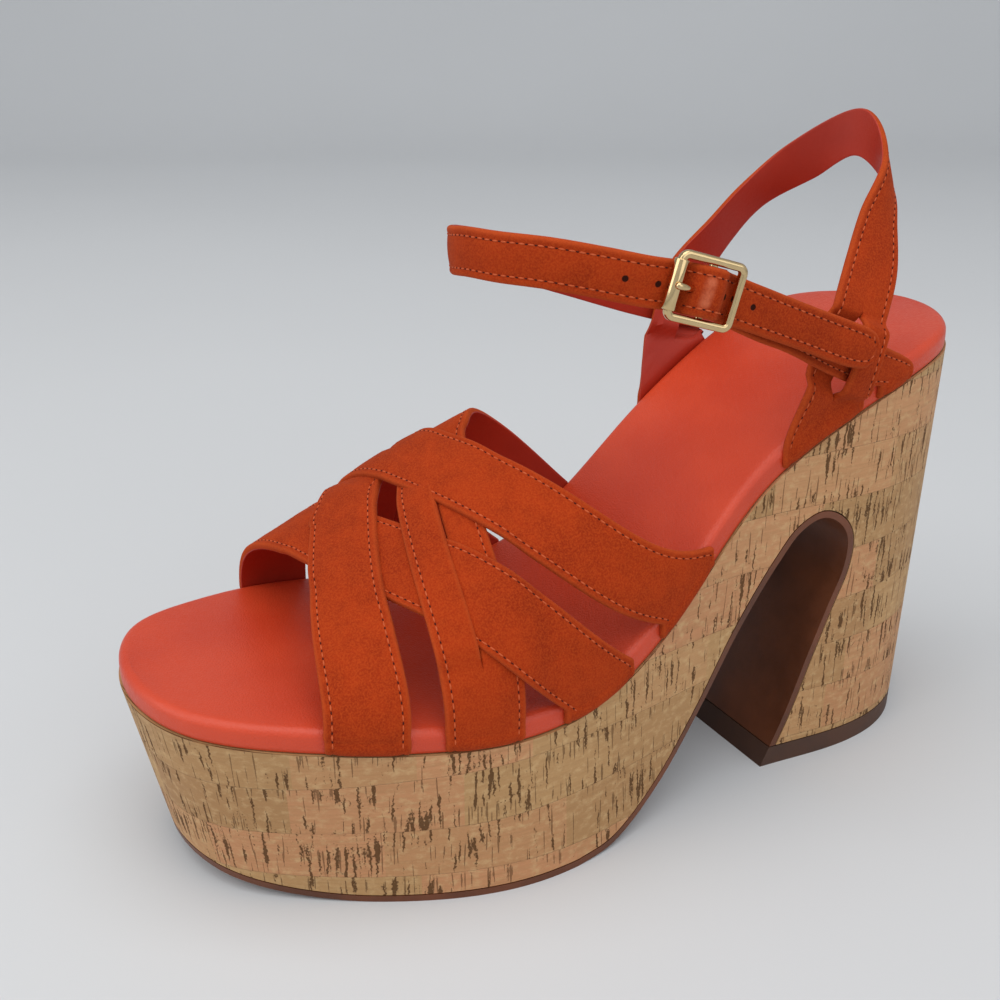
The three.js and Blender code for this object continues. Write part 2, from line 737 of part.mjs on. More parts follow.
const ridgeShare = 0.28;
const bumpHeight = barDiameter / 2 + gap + loopThickness + gap + (strapDrop - frameHeight);

function makeAnkleStrap() {
  const band = ankleBand();
  const axes = buckleAxes();
  const toBuckle = axes.clone().invert();
  const frontReach = buckleLength / 2 - rollerDiameter * 0.8 + barOffset;
  const rearReach = buckleLength / 2 - buckleWire - barOffset;
  const lift = (point) => {
    const local = point.clone().applyMatrix4(toBuckle);
    if (Math.abs(local.z) > 2 * strapDrop || Math.abs(local.y) > ankleStrapWidth) return 0;
    const from = Math.abs(local.x - barOffset);
    if (local.x > barOffset) return bumpHeight * (1 - smoothStep(barDiameter / 2, rearReach, from));
    const ridge = 1 - smoothStep(barDiameter / 2, frontReach * 0.7, from);
    const shoulder = 1 - smoothStep(frontReach * 0.6, frontReach, from);
    return bumpHeight * mix(shoulder, ridge, ridgeShare);
  };
  const tuck = { ...ankleTuck, side: -1, width: ankleTuck.width * ankleStrapWidth };
  const grid = bandGrid(band, ankleRows.slice(0, -1).map((row) => row.steps), [-0.5, 0, 0.5], tuck, null);
  return strapSolid(grid, [{ from: 0, to: 2, lift }], 0, ankleStrapThickness);
}

// Where the buckle strap leaves its loop round the bar, in the buckle's own axes
const tailStart = 0.28 * buckleLength;
const tailEnd = 0.36 * buckleLength;
const tailInside = frameHeight - strapDrop - gap - ankleStrapThickness;

function buckleStrapBand() {
  const start = new THREE.Vector3(tailStart, 0, tailInside).applyMatrix4(buckleAxes());
  const centres = [start, ...buckleStrapRows.map(anklePoint)];
  return bandRows(centres, [{ width: 1 }, ...buckleStrapRows].map(ankleSize));
}

function nearness(point, route) {
  let nearest = Infinity;
  for (let i = 0; i < route.length - 1; i += 1) {
    const line = new THREE.Line3(route[i], route[i + 1]);
    const foot = line.closestPointToPoint(point, true, new THREE.Vector3());
    nearest = Math.min(nearest, foot.distanceTo(point));
  }
  return nearest;
}

function makeBackStrap() {
  const point = (row, side) => new THREE.Vector3(
    (side > 0 ? row.lateral : row.medial) * ankleHalfWidth,
    yAt(row.along),
    row.up * backStrapHeight,
  );
  const there = backRows.slice(0, -1);
  const medialHalf = there.map((row) => [row, -1]);
  const lateralHalf = backRows.map((row) => [row, 1]).reverse();
  const order = [...medialHalf, ...lateralHalf];
  const centres = order.map(([row, side]) => point(row, side));
  const rows = bandRows(centres, order.map(([row]) => ({ ...row, width: row.width * backStrapWidth })));
  const steps = there.map((row) => row.steps);
  const counts = [...steps, ...steps.slice().reverse(), 3];
  const tuckSize = (tuck) => ({ ...tuck, width: tuck.width * backStrapWidth });
  const [lateralTuck, medialTuck] = backTucks.map(tuckSize);
  const lateralRoute = buckleStrapRows.map(anklePoint);
  const medialRoute = ankleRows.slice(0, 4).map(anklePoint);
  lateralRoute.push(tuckPoints(1, ankleTuck.along)[3]);
  medialRoute.unshift(tuckPoints(-1, ankleTuck.along)[3]);
  const layer = ankleStrapThickness + 3 * gap;
  const reach = ankleStrapWidth / 2 + 5 * gap;
  const ramp = ankleStrapWidth * 0.3;
  const lift = (sign) => (place) => {
    const near = nearness(place, place.x > 0 ? lateralRoute : medialRoute);
    const above = place.z - footbed(place.y);
    const clear = sign > 0 ? smoothStep(-insoleThickness / 2, 0, above) : smoothStep(gap, ramp, above);
    return sign * layer * clear * (1 - smoothStep(reach, reach + ramp, near));
  };
  const columns = [-0.5, (slitShare - 0.5) / 2, slitShare, (slitShare + 0.5) / 2, 0.5];
  const grid = bandGrid(rows, counts, columns, medialTuck, lateralTuck);
  const parts = [{ from: 0, to: 2, lift: lift(-1) }, { from: 2, to: 4, lift: lift(1) }];
  return strapSolid(grid, parts, 0, ankleStrapThickness);
}

// The buckle's pieces in its own axes: x along the strap, y across it, z out of it
const frameWidth = ankleStrapWidth + 2 * (buckleWire + gap);

function roundedRectangle(shape, length, width, radius) {
  const [x, y] = [length / 2, width / 2];
  shape.moveTo(-x + radius, -y);
  shape.lineTo(x - radius, -y);
  shape.absarc(x - radius, -y + radius, radius, -Math.PI / 2, 0);
  shape.lineTo(x, y - radius);
  shape.absarc(x - radius, y - radius, radius, 0, Math.PI / 2);
  shape.lineTo(-x + radius, y);
  shape.absarc(-x + radius, y - radius, radius, Math.PI / 2, Math.PI);
  shape.lineTo(-x, -y + radius);
  shape.absarc(-x + radius, -y + radius, radius, Math.PI, 1.5 * Math.PI);
  return shape;
}

function crossBar(diameter, length, x, z, sides) {
  const geometry = new THREE.CylinderGeometry(diameter / 2, diameter / 2, length, sides);
  return solidOf(geometry.translate(x, 0, z));
}

function makeBuckleFrame() {
  const bevel = 0.45;
  const axleDiameter = rollerDiameter - 2 * 0.6 - 2 * gap;
  const outer = roundedRectangle(new THREE.Shape(), buckleLength - 2 * bevel, frameWidth - 2 * bevel, 2);
  const holeLength = buckleLength - 2 * buckleWire + 2 * bevel;
  const holeWidth = frameWidth - 2 * buckleWire + 2 * bevel;
  outer.holes.push(roundedRectangle(new THREE.Path(), holeLength, holeWidth, 1.2));
  const depth = buckleWire - 2 * bevel;
  const options = { depth, bevelThickness: bevel, bevelSize: bevel, bevelSegments: 2, curveSegments: 4 };
  const geometry = new THREE.ExtrudeGeometry(outer, options).translate(0, 0, frameHeight - depth / 2);
  const rollerX = -buckleLength / 2 + buckleWire / 2;
  const sideY = frameWidth / 2 - buckleWire / 2;
  const lugTop = frameHeight;
  const lug = (side) => {
    const middle = new THREE.Vector3(barOffset, side * sideY, 0);
    const half = new THREE.Vector3(barDiameter / 2, buckleWire * 0.3, barDiameter / 2);
    return cornerBox(middle.clone().sub(half), middle.add(half).setZ(lugTop));
  };
  const opening = frameWidth - 2 * buckleWire;
  const room = cornerBox(
    new THREE.Vector3(rollerX - buckleWire, -opening / 2, 0),
    new THREE.Vector3(rollerX + buckleWire * 0.75, opening / 2, 2 * frameHeight),
  );
  return solidOf(geometry)
    .subtract(room)
    .add(crossBar(axleDiameter, opening + buckleWire, rollerX, frameHeight, 10))
    .add(crossBar(barDiameter, 2 * sideY, barOffset, 0, 12))
    .add(lug(-1))
    .add(lug(1));
}

function makeRoller() {
  const wall = 0.6;
  const length = frameWidth - 2 * buckleWire - 2 * gap;
  const [r, inside] = [rollerDiameter / 2, rollerDiameter / 2 - wall];
  const corners = [[inside, -1], [r, -1], [r, 1], [inside, 1], [inside, -1]];
  const profile = corners.map(([x, side]) => new THREE.Vector2(x, (side * length) / 2));
  const geometry = new THREE.LatheGeometry(profile, 16);
  return solidOf(geometry.translate(-buckleLength / 2 + buckleWire / 2, 0, frameHeight));
}

// The prong: an eye round the bar and a pin whose tip lies on the roller
function prongShapes(growth) {
  const eyeInside = barDiameter / 2 + gap;
  const eyeOutside = eyeInside + 0.9 + growth;
  const eyeWidth = prongDiameter + 2 * growth;
  const eye = new THREE.Shape();
  eye.absarc(0, 0, eyeOutside, 0, 2 * Math.PI);
  if (growth === 0) eye.holes.push(new THREE.Path().absarc(0, 0, eyeInside, 0, 2 * Math.PI));
  const options = { depth: eyeWidth, bevelEnabled: false, curveSegments: 8 };
  const ringGeometry = new THREE.ExtrudeGeometry(eye, options);
  ringGeometry.translate(0, 0, -eyeWidth / 2).rotateX(Math.PI / 2).translate(barOffset, 0, 0);
  const tipHeight = frameHeight + rollerDiameter / 2 + gap + prongDiameter / 2;
  const rollerX = -buckleLength / 2 + buckleWire / 2;
  const tipX = -buckleLength / 2 - 0.4;
  const pinPath = new THREE.CatmullRomCurve3([
    new THREE.Vector3(barOffset - eyeInside * 0.6, 0, eyeInside + 0.2),
    new THREE.Vector3(barOffset * 0.4 + rollerX * 0.3, 0, tipHeight * 0.4),
    new THREE.Vector3(rollerX + rollerDiameter * 1.1, 0, tipHeight * 0.6),
    new THREE.Vector3(rollerX + rollerDiameter * 0.55, 0, tipHeight * 0.88),
    new THREE.Vector3(rollerX, 0, tipHeight),
    new THREE.Vector3(tipX - growth, 0, tipHeight - 0.1),
  ]);
  const section = new THREE.Shape();
  section.absarc(0, 0, prongDiameter / 2 + growth, 0, 2 * Math.PI);
  const pin = new THREE.ExtrudeGeometry(section, { steps: 12, extrudePath: pinPath, curveSegments: 5 });
  return { eye: solidOf(ringGeometry), pin: solidOf(pin) };
}

function makeProng() {
  const { eye, pin } = prongShapes(0);
  const bore = crossBar(barDiameter + 2 * gap, ankleStrapWidth, barOffset, 0, 16);
  return eye.add(pin).subtract(bore);
}

// The loop of the buckle strap round the bar, with a slot for the prong
function makeBarLoop() {
  const inside = barDiameter / 2 + gap;
  const outside = inside + loopThickness;
  const shape = new THREE.Shape();
  shape.absarc(barOffset, 0, outside, 0.35 * Math.PI, 1.45 * Math.PI);
  shape.lineTo(tailEnd, tailInside);
  shape.lineTo(tailEnd, tailInside + ankleStrapThickness);
  const options = { depth: ankleStrapWidth, bevelEnabled: false, curveSegments: 8 };
  const geometry = new THREE.ExtrudeGeometry(shape, options);
  geometry.translate(0, 0, -ankleStrapWidth / 2).rotateX(Math.PI / 2);
  const slotWidth = prongDiameter + 2 * gap;
  const slot = cornerBox(
    new THREE.Vector3(barOffset - 2 * outside, -slotWidth / 2, -2 * outside),
    new THREE.Vector3(barOffset + outside + gap, slotWidth / 2, 2 * outside),
  );
  const bore = crossBar(2 * inside, 2 * ankleStrapWidth, barOffset, 0, 16);
  return solidOf(geometry).subtract(bore).subtract(slot);
}

function placed(solid, matrix) {
  return solid.transform(matrix.elements);
}

// Putting it together
const group = new THREE.Group();

function addMesh(name, solid, material) {
  const mesh = solid.getMesh();
  const geometry = new THREE.BufferGeometry();
  const positions = new Float32Array((mesh.vertProperties.length / mesh.numProp) * 3);
  for (let i = 0; i < positions.length / 3; i += 1) {
    for (let axis = 0; axis < 3; axis += 1) {
      positions[3 * i + axis] = mesh.vertProperties[i * mesh.numProp + axis];
    }
  }
  geometry.setAttribute('position', new THREE.BufferAttribute(positions, 3));
  geometry.setIndex(new THREE.BufferAttribute(new Uint32Array(mesh.triVerts), 1));
  geometry.computeVertexNormals();
  const piece = new THREE.Mesh(geometry, material);
  piece.name = name;
  group.add(piece);
}

const axes = buckleAxes();
const buckleTuck = { ...ankleTuck, side: 1, width: ankleTuck.width * ankleStrapWidth };
const buckleSteps = [3, ...buckleStrapRows.map((row) => row.steps)];
const buckleGrid = bandGrid(buckleStrapBand(), buckleSteps, [-0.5, 0, 0.5], null, buckleTuck);
const buckleStrap = flatStrap(buckleGrid, ankleStrapThickness).add(placed(makeBarLoop(), axes));
const grownProng = prongShapes(gap);
const prongRoom = placed(grownProng.pin.add(grownProng.eye), axes);
const ankleStrap = makeAnkleStrap().subtract(prongRoom);

const anklePockets = [-1, 1].map((side) => (
  tuckPocket(side, ankleTuck.along, ankleTuck.width * ankleStrapWidth, strapThickness)));
const backPockets = backTucks.map((tuck) => (
  tuckPocket(tuck.side, tuck.along, tuck.width * backStrapWidth, strapThickness)));
const pockets = [...vampPockets(), ...anklePockets, ...backPockets];
const insole = pockets.reduce((left, pocket) => left.subtract(pocket), insoleBlank());

const sole = makeSole();
addMesh('outsole', sole.outsole, soleRubber);
addMesh('heel_top_piece', sole.heelTopPiece, soleRubber);
addMesh('cork_unit', sole.corkUnit, cork);
addMesh('insole', insole, leather);
addMesh('vamp_straps', makeVamp(), suede);
addMesh('back_strap', makeBackStrap(), suede);
addMesh('ankle_strap', ankleStrap, suede);
addMesh('buckle_strap', buckleStrap, suede);
addMesh('buckle_frame', placed(makeBuckleFrame(), axes), gold);
addMesh('buckle_roller', placed(makeRoller(), axes), gold);
addMesh('buckle_prong', placed(makeProng(), axes), gold);

// The origin is on the floor under the middle of the whole sandal.
const bounds = new THREE.Box3().setFromObject(group);
const middle = bounds.getCenter(new THREE.Vector3());
group.position.set(-middle.x, -middle.y, 0);

export default group;
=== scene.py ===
import math

import bmesh
import bpy
import numpy as np
from mathutils import Matrix, Vector


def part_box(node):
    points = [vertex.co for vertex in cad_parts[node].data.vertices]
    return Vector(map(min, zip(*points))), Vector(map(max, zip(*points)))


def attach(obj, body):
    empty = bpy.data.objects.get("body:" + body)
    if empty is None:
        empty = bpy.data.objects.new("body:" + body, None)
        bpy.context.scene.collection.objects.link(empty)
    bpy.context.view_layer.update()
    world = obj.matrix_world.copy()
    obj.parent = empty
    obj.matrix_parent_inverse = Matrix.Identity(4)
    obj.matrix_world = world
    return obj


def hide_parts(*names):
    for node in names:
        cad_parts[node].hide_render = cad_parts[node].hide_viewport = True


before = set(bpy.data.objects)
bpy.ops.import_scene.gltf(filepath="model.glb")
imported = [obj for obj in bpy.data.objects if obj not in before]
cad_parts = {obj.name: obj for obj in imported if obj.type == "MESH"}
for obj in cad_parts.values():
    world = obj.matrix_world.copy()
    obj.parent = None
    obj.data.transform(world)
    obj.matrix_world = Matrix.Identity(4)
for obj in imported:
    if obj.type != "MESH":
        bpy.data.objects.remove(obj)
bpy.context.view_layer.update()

# Sizes in millimetres, as in the model. The finished meshes are in metres.
last = {
    'footLength': 220, 'ballWidth': 83, 'platformHeight': 44.5, 'heelHeight': 112,
    'toeSpring': 9.5, 'toeUndercut': 8.5, 'archHeight': 71, 'toeFlatStart': 0.199,
    'outlineSteps': 150,
}
insole = {
    'thickness': 5.5, 'setback': 1, 'coverSetback': 0.45, 'edgeRound': 2.2, 'roundSteps': 7,
    'footInset': 0.25, 'footHeight': 0.35, 'bulge': 0.05, 'hollow': 0.5, 'hollowReach': 30,
}
sole = {
    'outsole': 1.7, 'topPiece': 5.5, 'heelZoneFront': 0.63, 'blockFoot': -1, 'toeStart': -0.04,
    'toeSteps': 40, 'archSteps': 10,
}
vamp = {
    'instepHeight': 56, 'width': 18, 'thickness': 1.8, 'tuckLength': 6, 'tuckLift': 1.1,
    'tuckRise': 0.75, 'crownShift': -0.166, 'crownRoundness': 2.17, 'sectionBase': 0.8,
    'sectionSteps': 48, 'rows': 170, 'evenShare': 0.65, 'tuckSteps': [3, 5, 6, 4],
    'layerRamp': 6, 'layerMargin': 1, 'layerDrop': 0.4, 'seamSkip': (15, 15),
}
ankle = {
    'halfWidth': 35, 'height': 140, 'width': 10.5, 'thickness': 1.6, 'spineFront': 0.523,
    'spineRear': 0.795, 'tuckAlong': 0.812, 'tuckWidth': 1.05, 'buckleRow': 12, 'spacing': 0.8,
    'rollerReach': 0.8, 'ridgeReach': 0.7, 'shoulderStart': 0.6, 'seamSkip': (14, 3),
    'creases': [(52, 0.3, 0.3, 3, 0.12, 0.9), (58, -0.25, 0.7, 3, 0.1, 0.8)],
}
back = {
    'height': 157, 'width': 12, 'slitShare': 0, 'spacing': 0.9, 'slitGaps': 3, 'slitReachGaps': 5,
    'slitRamp': 0.3, 'seamSkip': (14, 14),
    'creases': [
        (19, 0.5, 0.2, 5, 0.16, 0.7), (23, 0.42, 0.25, 6, 0.2, 0.8), (27, 0.3, 0.22, 5, 0.18, 0.7),
        (31, 0.2, 0.3, 5, 0.14, 0.8),
    ],
}
buckle = {
    'length': 16.6, 'wire': 1.8, 'bar': 1.8, 'barOffset': 1.5, 'roller': 3, 'prong': 1.6,
    'loop': 1, 'frameHeight': 2.2, 'cornerRadius': 2, 'ridgeShare': 0.28, 'loopStart': 0.28,
    'loopEnd': 0.36, 'loopTurns': (63, 261), 'loopSteps': 24, 'rollerWall': 0.45,
    'rollerEdge': 0.25, 'prongPast': 0.4, 'tipRound': 0.9, 'seamSkip': (4, 12),
}
seam = {
    'inset': 1.8, 'pitch': 2.1, 'length': 1.35, 'thread': 0.42, 'hole': (0.2, 0.2, 0.34),
    'groove': 0.16, 'grooveWidth': 0.4,
}
punched = {'at': (167, 174, 180.2, 189.5, 197.6), 'across': 5.25, 'radius': 0.75, 'rubbedHighlightAt': 183.8}
shell = {'edgeRound': 0.8, 'liningRound': 0.3, 'crown': 0.18, 'crownReach': 3}
gap = 0.3
sideGap = gap + 0.1

# Places along are shares of the foot's length, and the values are shares of the sizes above
outlineTable = {
    'along': [0, 0.031, 0.105, 0.209, 0.345, 0.491, 0.627, 0.784, 0.92, 0.965, 1],
    'lateral': [-0.148, 0.127, 0.289, 0.404, 0.465, 0.428, 0.386, 0.408, 0.32, 0.212, -0.025],
    'medial': [-0.148, -0.416, -0.524, -0.584, -0.534, -0.367, -0.271, -0.32, -0.29, -0.205, -0.025],
}
footbedTable = {
    'along': [0, 0.157, 0.314, 0.418, 0.523, 0.627, 0.732, 0.836, 0.941, 1],
    'rise': [0.104, 0.055, 0, 0.025, 0.23, 0.585, 0.812, 0.945, 0.995, 1],
}
undercutTable = {'along': [0, 0.125, 0.366, 0.627, 0.941, 1], 'inward': [1, 0.7, -0.2, 0.25, 0.24, 0.38]}
archTable = [
    (0.402, 0), (0.455, 0.024), (0.523, 0.16), (0.582, 0.378), (0.634, 0.645), (0.68, 0.865),
    (0.706, 0.965), (0.733, 1), (0.757, 0.97), (0.773, 0.9), (0.773, 0.79), (0.756, 0.635),
    (0.735, 0.435), (0.715, 0.228), (0.696, 0.07), (0.687, 0),
]
instepTable = {
    'along': [0.052, 0.157, 0.261, 0.366, 0.47, 0.575, 0.68],
    'height': [0.2, 0.28, 0.54, 0.81, 0.93, 0.99, 1.02],
}
vampTable = {
    'across': [-1, -0.5, 0, 0.5, 1],
    'frontOuter': [0.444, 0.347, 0.266, 0.21, 0.184],
    'rearOuter': [0.535, 0.458, 0.361, 0.31, 0.296],
    'frontInner': [0.214, 0.217, 0.231, 0.288, 0.427],
    'rearInner': [0.303, 0.327, 0.342, 0.406, 0.544],
}
bandColumns = ('side', 'along', 'up', 'width', 'lean')
ankleTable = [
    (-0.808, 0.774, 0.78, 1, 20), (-0.843, 0.732, 0.792, 1, 12), (-0.85, 0.677, 0.818, 1, 0),
    (-0.81, 0.559, 0.885, 1, 0), (-0.68, 0.468, 0.937, 1, 0), (-0.4, 0.395, 0.971, 1, 0),
    (-0.086, 0.366, 0.986, 1, 0), (0.17, 0.36, 0.996, 1, 0), (0.43, 0.37, 0.998, 1, 0),
    (0.7, 0.399, 0.996, 1, 0), (0.845, 0.439, 0.983, 1, 0), (0.925, 0.475, 0.969, 1, 0),
    (0.985, 0.532, 0.949, 1, 0), (1.035, 0.589, 0.914, 0.96, 0), (1.08, 0.653, 0.873, 0.93, 0),
    (1.125, 0.711, 0.836, 0.93, 0), (1.135, 0.725, 0.828, 0.89, 0), (1.142, 0.736, 0.821, 0.75, 0),
    (1.145, 0.742, 0.818, 0.47, 0),
]
buckleStrapTable = [
    (0.975, 0.617, 0.889, 1, 0), (0.985, 0.657, 0.862, 1, 0), (0.98, 0.721, 0.81, 1, 0),
    (0.963, 0.774, 0.775, 1, 2),
]
backColumns = ('lateral', 'medial', 'along', 'up', 'width', 'lean')
backTable = [
    (0.985, -0.855, 0.731, 0.707, 1.4, 0), (0.928, -0.848, 0.75, 0.763, 1.3, 10),
    (0.765, -0.79, 0.788, 0.83, 1.17, 20), (0.614, -0.67, 0.815, 0.886, 0.98, 22),
    (0.4, -0.42, 0.853, 0.948, 0.96, 10), (-0.02, -0.02, 0.873, 1, 0.95, 0),
]
backTucks = {
    1: {'along': 0.718, 'width': 1.8, 'rise': 0.6},
    -1: {'along': 0.71, 'width': 2.0, 'rise': 0.6},
}
ankleRows, buckleStrapRows = (
    [dict(zip(bandColumns, row)) for row in table] for table in (ankleTable, buckleStrapTable))
backRows = [dict(zip(backColumns, row)) for row in backTable]


def smoothThrough(places, values):
    x = np.array(places, float)
    y = np.array(values, float)
    count = len(x)
    steps = np.diff(x)
    system = np.eye(count)
    right = np.zeros(count)
    for i in range(1, count - 1):
        system[i, i - 1:i + 2] = steps[i - 1], 2 * (steps[i - 1] + steps[i]), steps[i]
        right[i] = 6 * ((y[i + 1] - y[i]) / steps[i] - (y[i] - y[i - 1]) / steps[i - 1])
    bend = np.linalg.solve(system, right)

    def curve(place):
        place = np.asarray(place, float)
        i = np.clip(np.searchsorted(x, place) - 1, 0, count - 2)
        a = (x[i + 1] - place) / steps[i]
        b = (place - x[i]) / steps[i]
        sag = ((a ** 3 - a) * bend[i] + (b ** 3 - b) * bend[i + 1]) * steps[i] ** 2 / 6
        return a * y[i] + b * y[i + 1] + sag

    return curve


def mix(a, b, share):
    return a + (b - a) * share


def smoothStep(low, high, value):
    share = np.clip((value - low) / (high - low), 0, 1)
    return share * share * (3 - 2 * share)


# The length of a line of points from its start to each point
def lengthSoFar(points):
    steps = np.linalg.norm(np.diff(points, axis=0), axis=-1)
    return np.concatenate([0 * steps[:1], np.cumsum(steps, axis=0)])


def unit(vectors):
    return vectors / np.linalg.norm(vectors, axis=-1, keepdims=True)


def yAt(along):
    return (np.asarray(along, float) - 0.5) * last['footLength']


def shareAt(y):
    return np.clip(y / last['footLength'] + 0.5, 0, 1)


def angleAt(along):
    return np.arccos(1 - 2 * np.clip(along, 0, 1))


edgeOf = {
    side: smoothThrough(angleAt(np.array(outlineTable['along'])),
                        np.array(outlineTable[name]) * last['ballWidth'])
    for side, name in ((1, 'lateral'), (-1, 'medial'))
}
riseAt = smoothThrough(footbedTable['along'], footbedTable['rise'])
undercutAt = smoothThrough(undercutTable['along'], np.array(undercutTable['inward']) * last['toeUndercut'])
instepAt = smoothThrough(instepTable['along'], np.array(instepTable['height']) * vamp['instepHeight'])
strapNames = ('frontOuter', 'rearOuter', 'frontInner', 'rearInner')
pathOf = {name: smoothThrough(vampTable['across'], vampTable[name]) for name in strapNames}


def footbed(y):
    return mix(last['platformHeight'], last['heelHeight'], riseAt(shareAt(y)))


def steepness(y):
    return np.hypot(1, (footbed(y + 1) - footbed(y - 1)) / 2)


def underside(y):
    return footbed(y) - insole['thickness'] * steepness(y)


# The outline from the toe (angle 0) to the heel (angle pi), moved inwards
def outlinePoint(side, angle, inward):
    edge = edgeOf[side]
    step = 0.001
    dx = (edge(angle + step) - edge(angle - step)) / (2 * step)
    dy = last['footLength'] / 2 * np.sin(angle)
    length = np.hypot(dx, dy)
    x = edge(angle) - side * dy / length * inward
    y = -last['footLength'] / 2 * np.cos(angle) + side * dx / length * inward
    return x, y


# A centripetal curve through points (rows, ...), read at places from 0 to 1
def alongCurve(points, places):
    points = np.asarray(points, float)
    padded = np.concatenate([[2 * points[0] - points[1]], points, [2 * points[-1] - points[-2]]])
    spans = np.maximum(np.sqrt(np.linalg.norm(np.diff(padded, axis=0), axis=-1, keepdims=True)), 1e-3)
    scaled = np.clip(places, 0, 1) * (len(points) - 1)
    i = np.minimum(scaled.astype(int), len(points) - 2)
    u = (scaled - i).reshape((-1,) + (1,) * (points.ndim - 1))
    p0, p1, p2, p3 = (padded[i + k] for k in range(4))
    d0, d1, d2 = (spans[i + k] for k in range(3))
    leave = ((p1 - p0) / d0 - (p2 - p0) / (d0 + d1) + (p2 - p1) / d1) * d1
    arrive = ((p2 - p1) / d1 - (p3 - p1) / (d1 + d2) + (p3 - p2) / d2) * d1
    cubic = 2 * p1 - 2 * p2 + leave + arrive
    square = -3 * p1 + 3 * p2 - 2 * leave - arrive
    return p1 + leave * u + square * u ** 2 + cubic * u ** 3


def placesFor(counts):
    segments = len(counts)
    inner = [(segment + np.arange(count) / count) / segments for segment, count in enumerate(counts)]
    return np.concatenate(inner + [[1]])


# Material making
class Term:
    def __init__(self, shader, socket):
        self.shader = shader
        self.socket = socket

    def math(self, operation, other):
        return self.shader.math(operation, self, other)

    def __add__(self, other):
        return self.math('ADD', other)

    def __radd__(self, other):
        return self.math('ADD', other)

    def __sub__(self, other):
        return self.math('SUBTRACT', other)

    def __mul__(self, other):
        return self.math('MULTIPLY', other)

    def __truediv__(self, other):
        return self.math('DIVIDE', other)


class Shader:
    def __init__(self, name, **constants):
        self.material = bpy.data.materials.new(name)
        self.material.use_nodes = True
        self.tree = self.material.node_tree
        self.surface = self.tree.nodes['Principled BSDF']
        for socket, value in constants.items():
            self.surface.inputs[socket.replace('_', ' ')].default_value = value

    def node(self, kind, inputs=None, output=0, **settings):
        made = self.tree.nodes.new(kind)
        for key, value in settings.items():
            setattr(made, key, value)
        for key, value in (inputs or {}).items():
            if isinstance(value, Term):
                self.tree.links.new(value.socket, made.inputs[key])
            else:
                made.inputs[key].default_value = value
        return Term(self, made.outputs[output])

    def math(self, operation, *terms):
        return self.node('ShaderNodeMath', dict(enumerate(terms)), operation=operation)

    def split(self, vector):
        whole = self.node('ShaderNodeSeparateXYZ', {0: vector})
        return [Term(self, whole.socket.node.outputs[axis]) for axis in range(3)]

    def vector(self, x, y, z=0.0):
        return self.node('ShaderNodeCombineXYZ', {0: x, 1: y, 2: z})

    def objectPlace(self):
        return self.node('ShaderNodeTexCoord', output='Object')

    def ownMap(self, name='millimetres'):
        return self.node('ShaderNodeUVMap', uv_map=name)

    def scaled(self, vector, scale):
        return self.node('ShaderNodeVectorMath', {0: vector, 1: scale}, operation='MULTIPLY')

    def noise(self, vector, scale, detail=2.0, roughness=0.5):
        inputs = {'Vector': vector, 'Scale': scale, 'Detail': detail, 'Roughness': roughness}
        return self.node('ShaderNodeTexNoise', inputs)

    def chance(self, vector):
        return self.node('ShaderNodeTexWhiteNoise', {'Vector': vector}, noise_dimensions='3D')

    def ease(self, term, low, high, toLow=0.0, toHigh=1.0):
        inputs = {0: term, 1: low, 2: high, 3: toLow, 4: toHigh}
        return self.node('ShaderNodeMapRange', inputs, interpolation_type='SMOOTHSTEP')

    def blend(self, share, first, second):
        inputs = {0: share, 6: first, 7: second}
        return self.node('ShaderNodeMix', inputs, 2, data_type='RGBA')

    def use(self, socket, term):
        self.tree.links.new(term.socket, self.surface.inputs[socket])

    def bump(self, height, distance, strength=1.0):
        inputs = {'Height': height, 'Distance': distance, 'Strength': strength}
        self.use('Normal', self.node('ShaderNodeBump', inputs))


def colour(red, green, blue):
    linear = [(value / 255 / 12.92 if value < 11 else ((value / 255 + 0.055) / 1.055) ** 2.4)
              for value in (red, green, blue)]
    return (*linear, 1.0)


def makeSuede(name, holes=None):
    shader = Shader(name, Roughness=0.92, Sheen_Weight=0.08, Sheen_Roughness=0.5,
                    Sheen_Tint=colour(255, 150, 90), Specular_IOR_Level=0.13)
    place = shader.objectPlace()
    brushed = shader.noise(place, 38.0, 3.0, 0.6)
    patches = shader.noise(place, 210.0, 4.0, 0.65)
    fibres = shader.noise(place, 2400.0, 2.0, 0.6)
    tone = shader.ease(brushed * 0.55 + patches * 0.45, 0.36, 0.64)
    base = shader.blend(tone, colour(136, 37, 7), colour(160, 49, 11))
    grain = shader.ease(fibres, 0.3, 0.72)
    base = shader.blend(grain * 0.5, base, colour(188, 74, 24))
    edge = shader.split(shader.ownMap('fromEdge'))[0]
    frayed = shader.ease(edge + (fibres - 0.5) * 0.8, 1.1, 0.1)
    base = shader.blend(frayed * 0.22, base, colour(204, 96, 46))
    height = fibres * 0.7 + patches * 0.6
    if holes:
        x, y, _ = shader.split(shader.ownMap())
        y = y - holes['across']
        # The ridge over the bar is rubbed smooth, with lower roughness, and carries a painted highlight as a
        # paler colour
        rubbedWithHighlight = shader.ease(shader.math('ABSOLUTE', x - holes['rubbedHighlightAt']), 1.9, 0.2)
        rubbedWithHighlight = rubbedWithHighlight * shader.ease(shader.math('ABSOLUTE', y), 4.2, 2.0)
        share = rubbedWithHighlight * shader.ease(patches, 0.25, 0.6) * 0.5
        base = shader.blend(share, base, colour(226, 130, 92))
        shader.use('Roughness', shader.ease(rubbedWithHighlight, 0, 1, 0.92, 0.5))
        # The punched holes are dark spots in the colour, painted shade inside each hole, and are sunk in the
        # bump
        dark = 0
        for at in holes['at']:
            away = shader.math('SQRT', (x - at) * (x - at) + y * y)
            spot = shader.ease(away, holes['radius'], holes['radius'] * 0.75)
            dark = shader.math('MAXIMUM', dark, spot)
        base = shader.blend(dark, base, colour(44, 12, 5))
        height = height - dark * 3
    shader.use('Base Color', base)
    shader.bump(height, 0.0002, 0.6)
    return shader.material


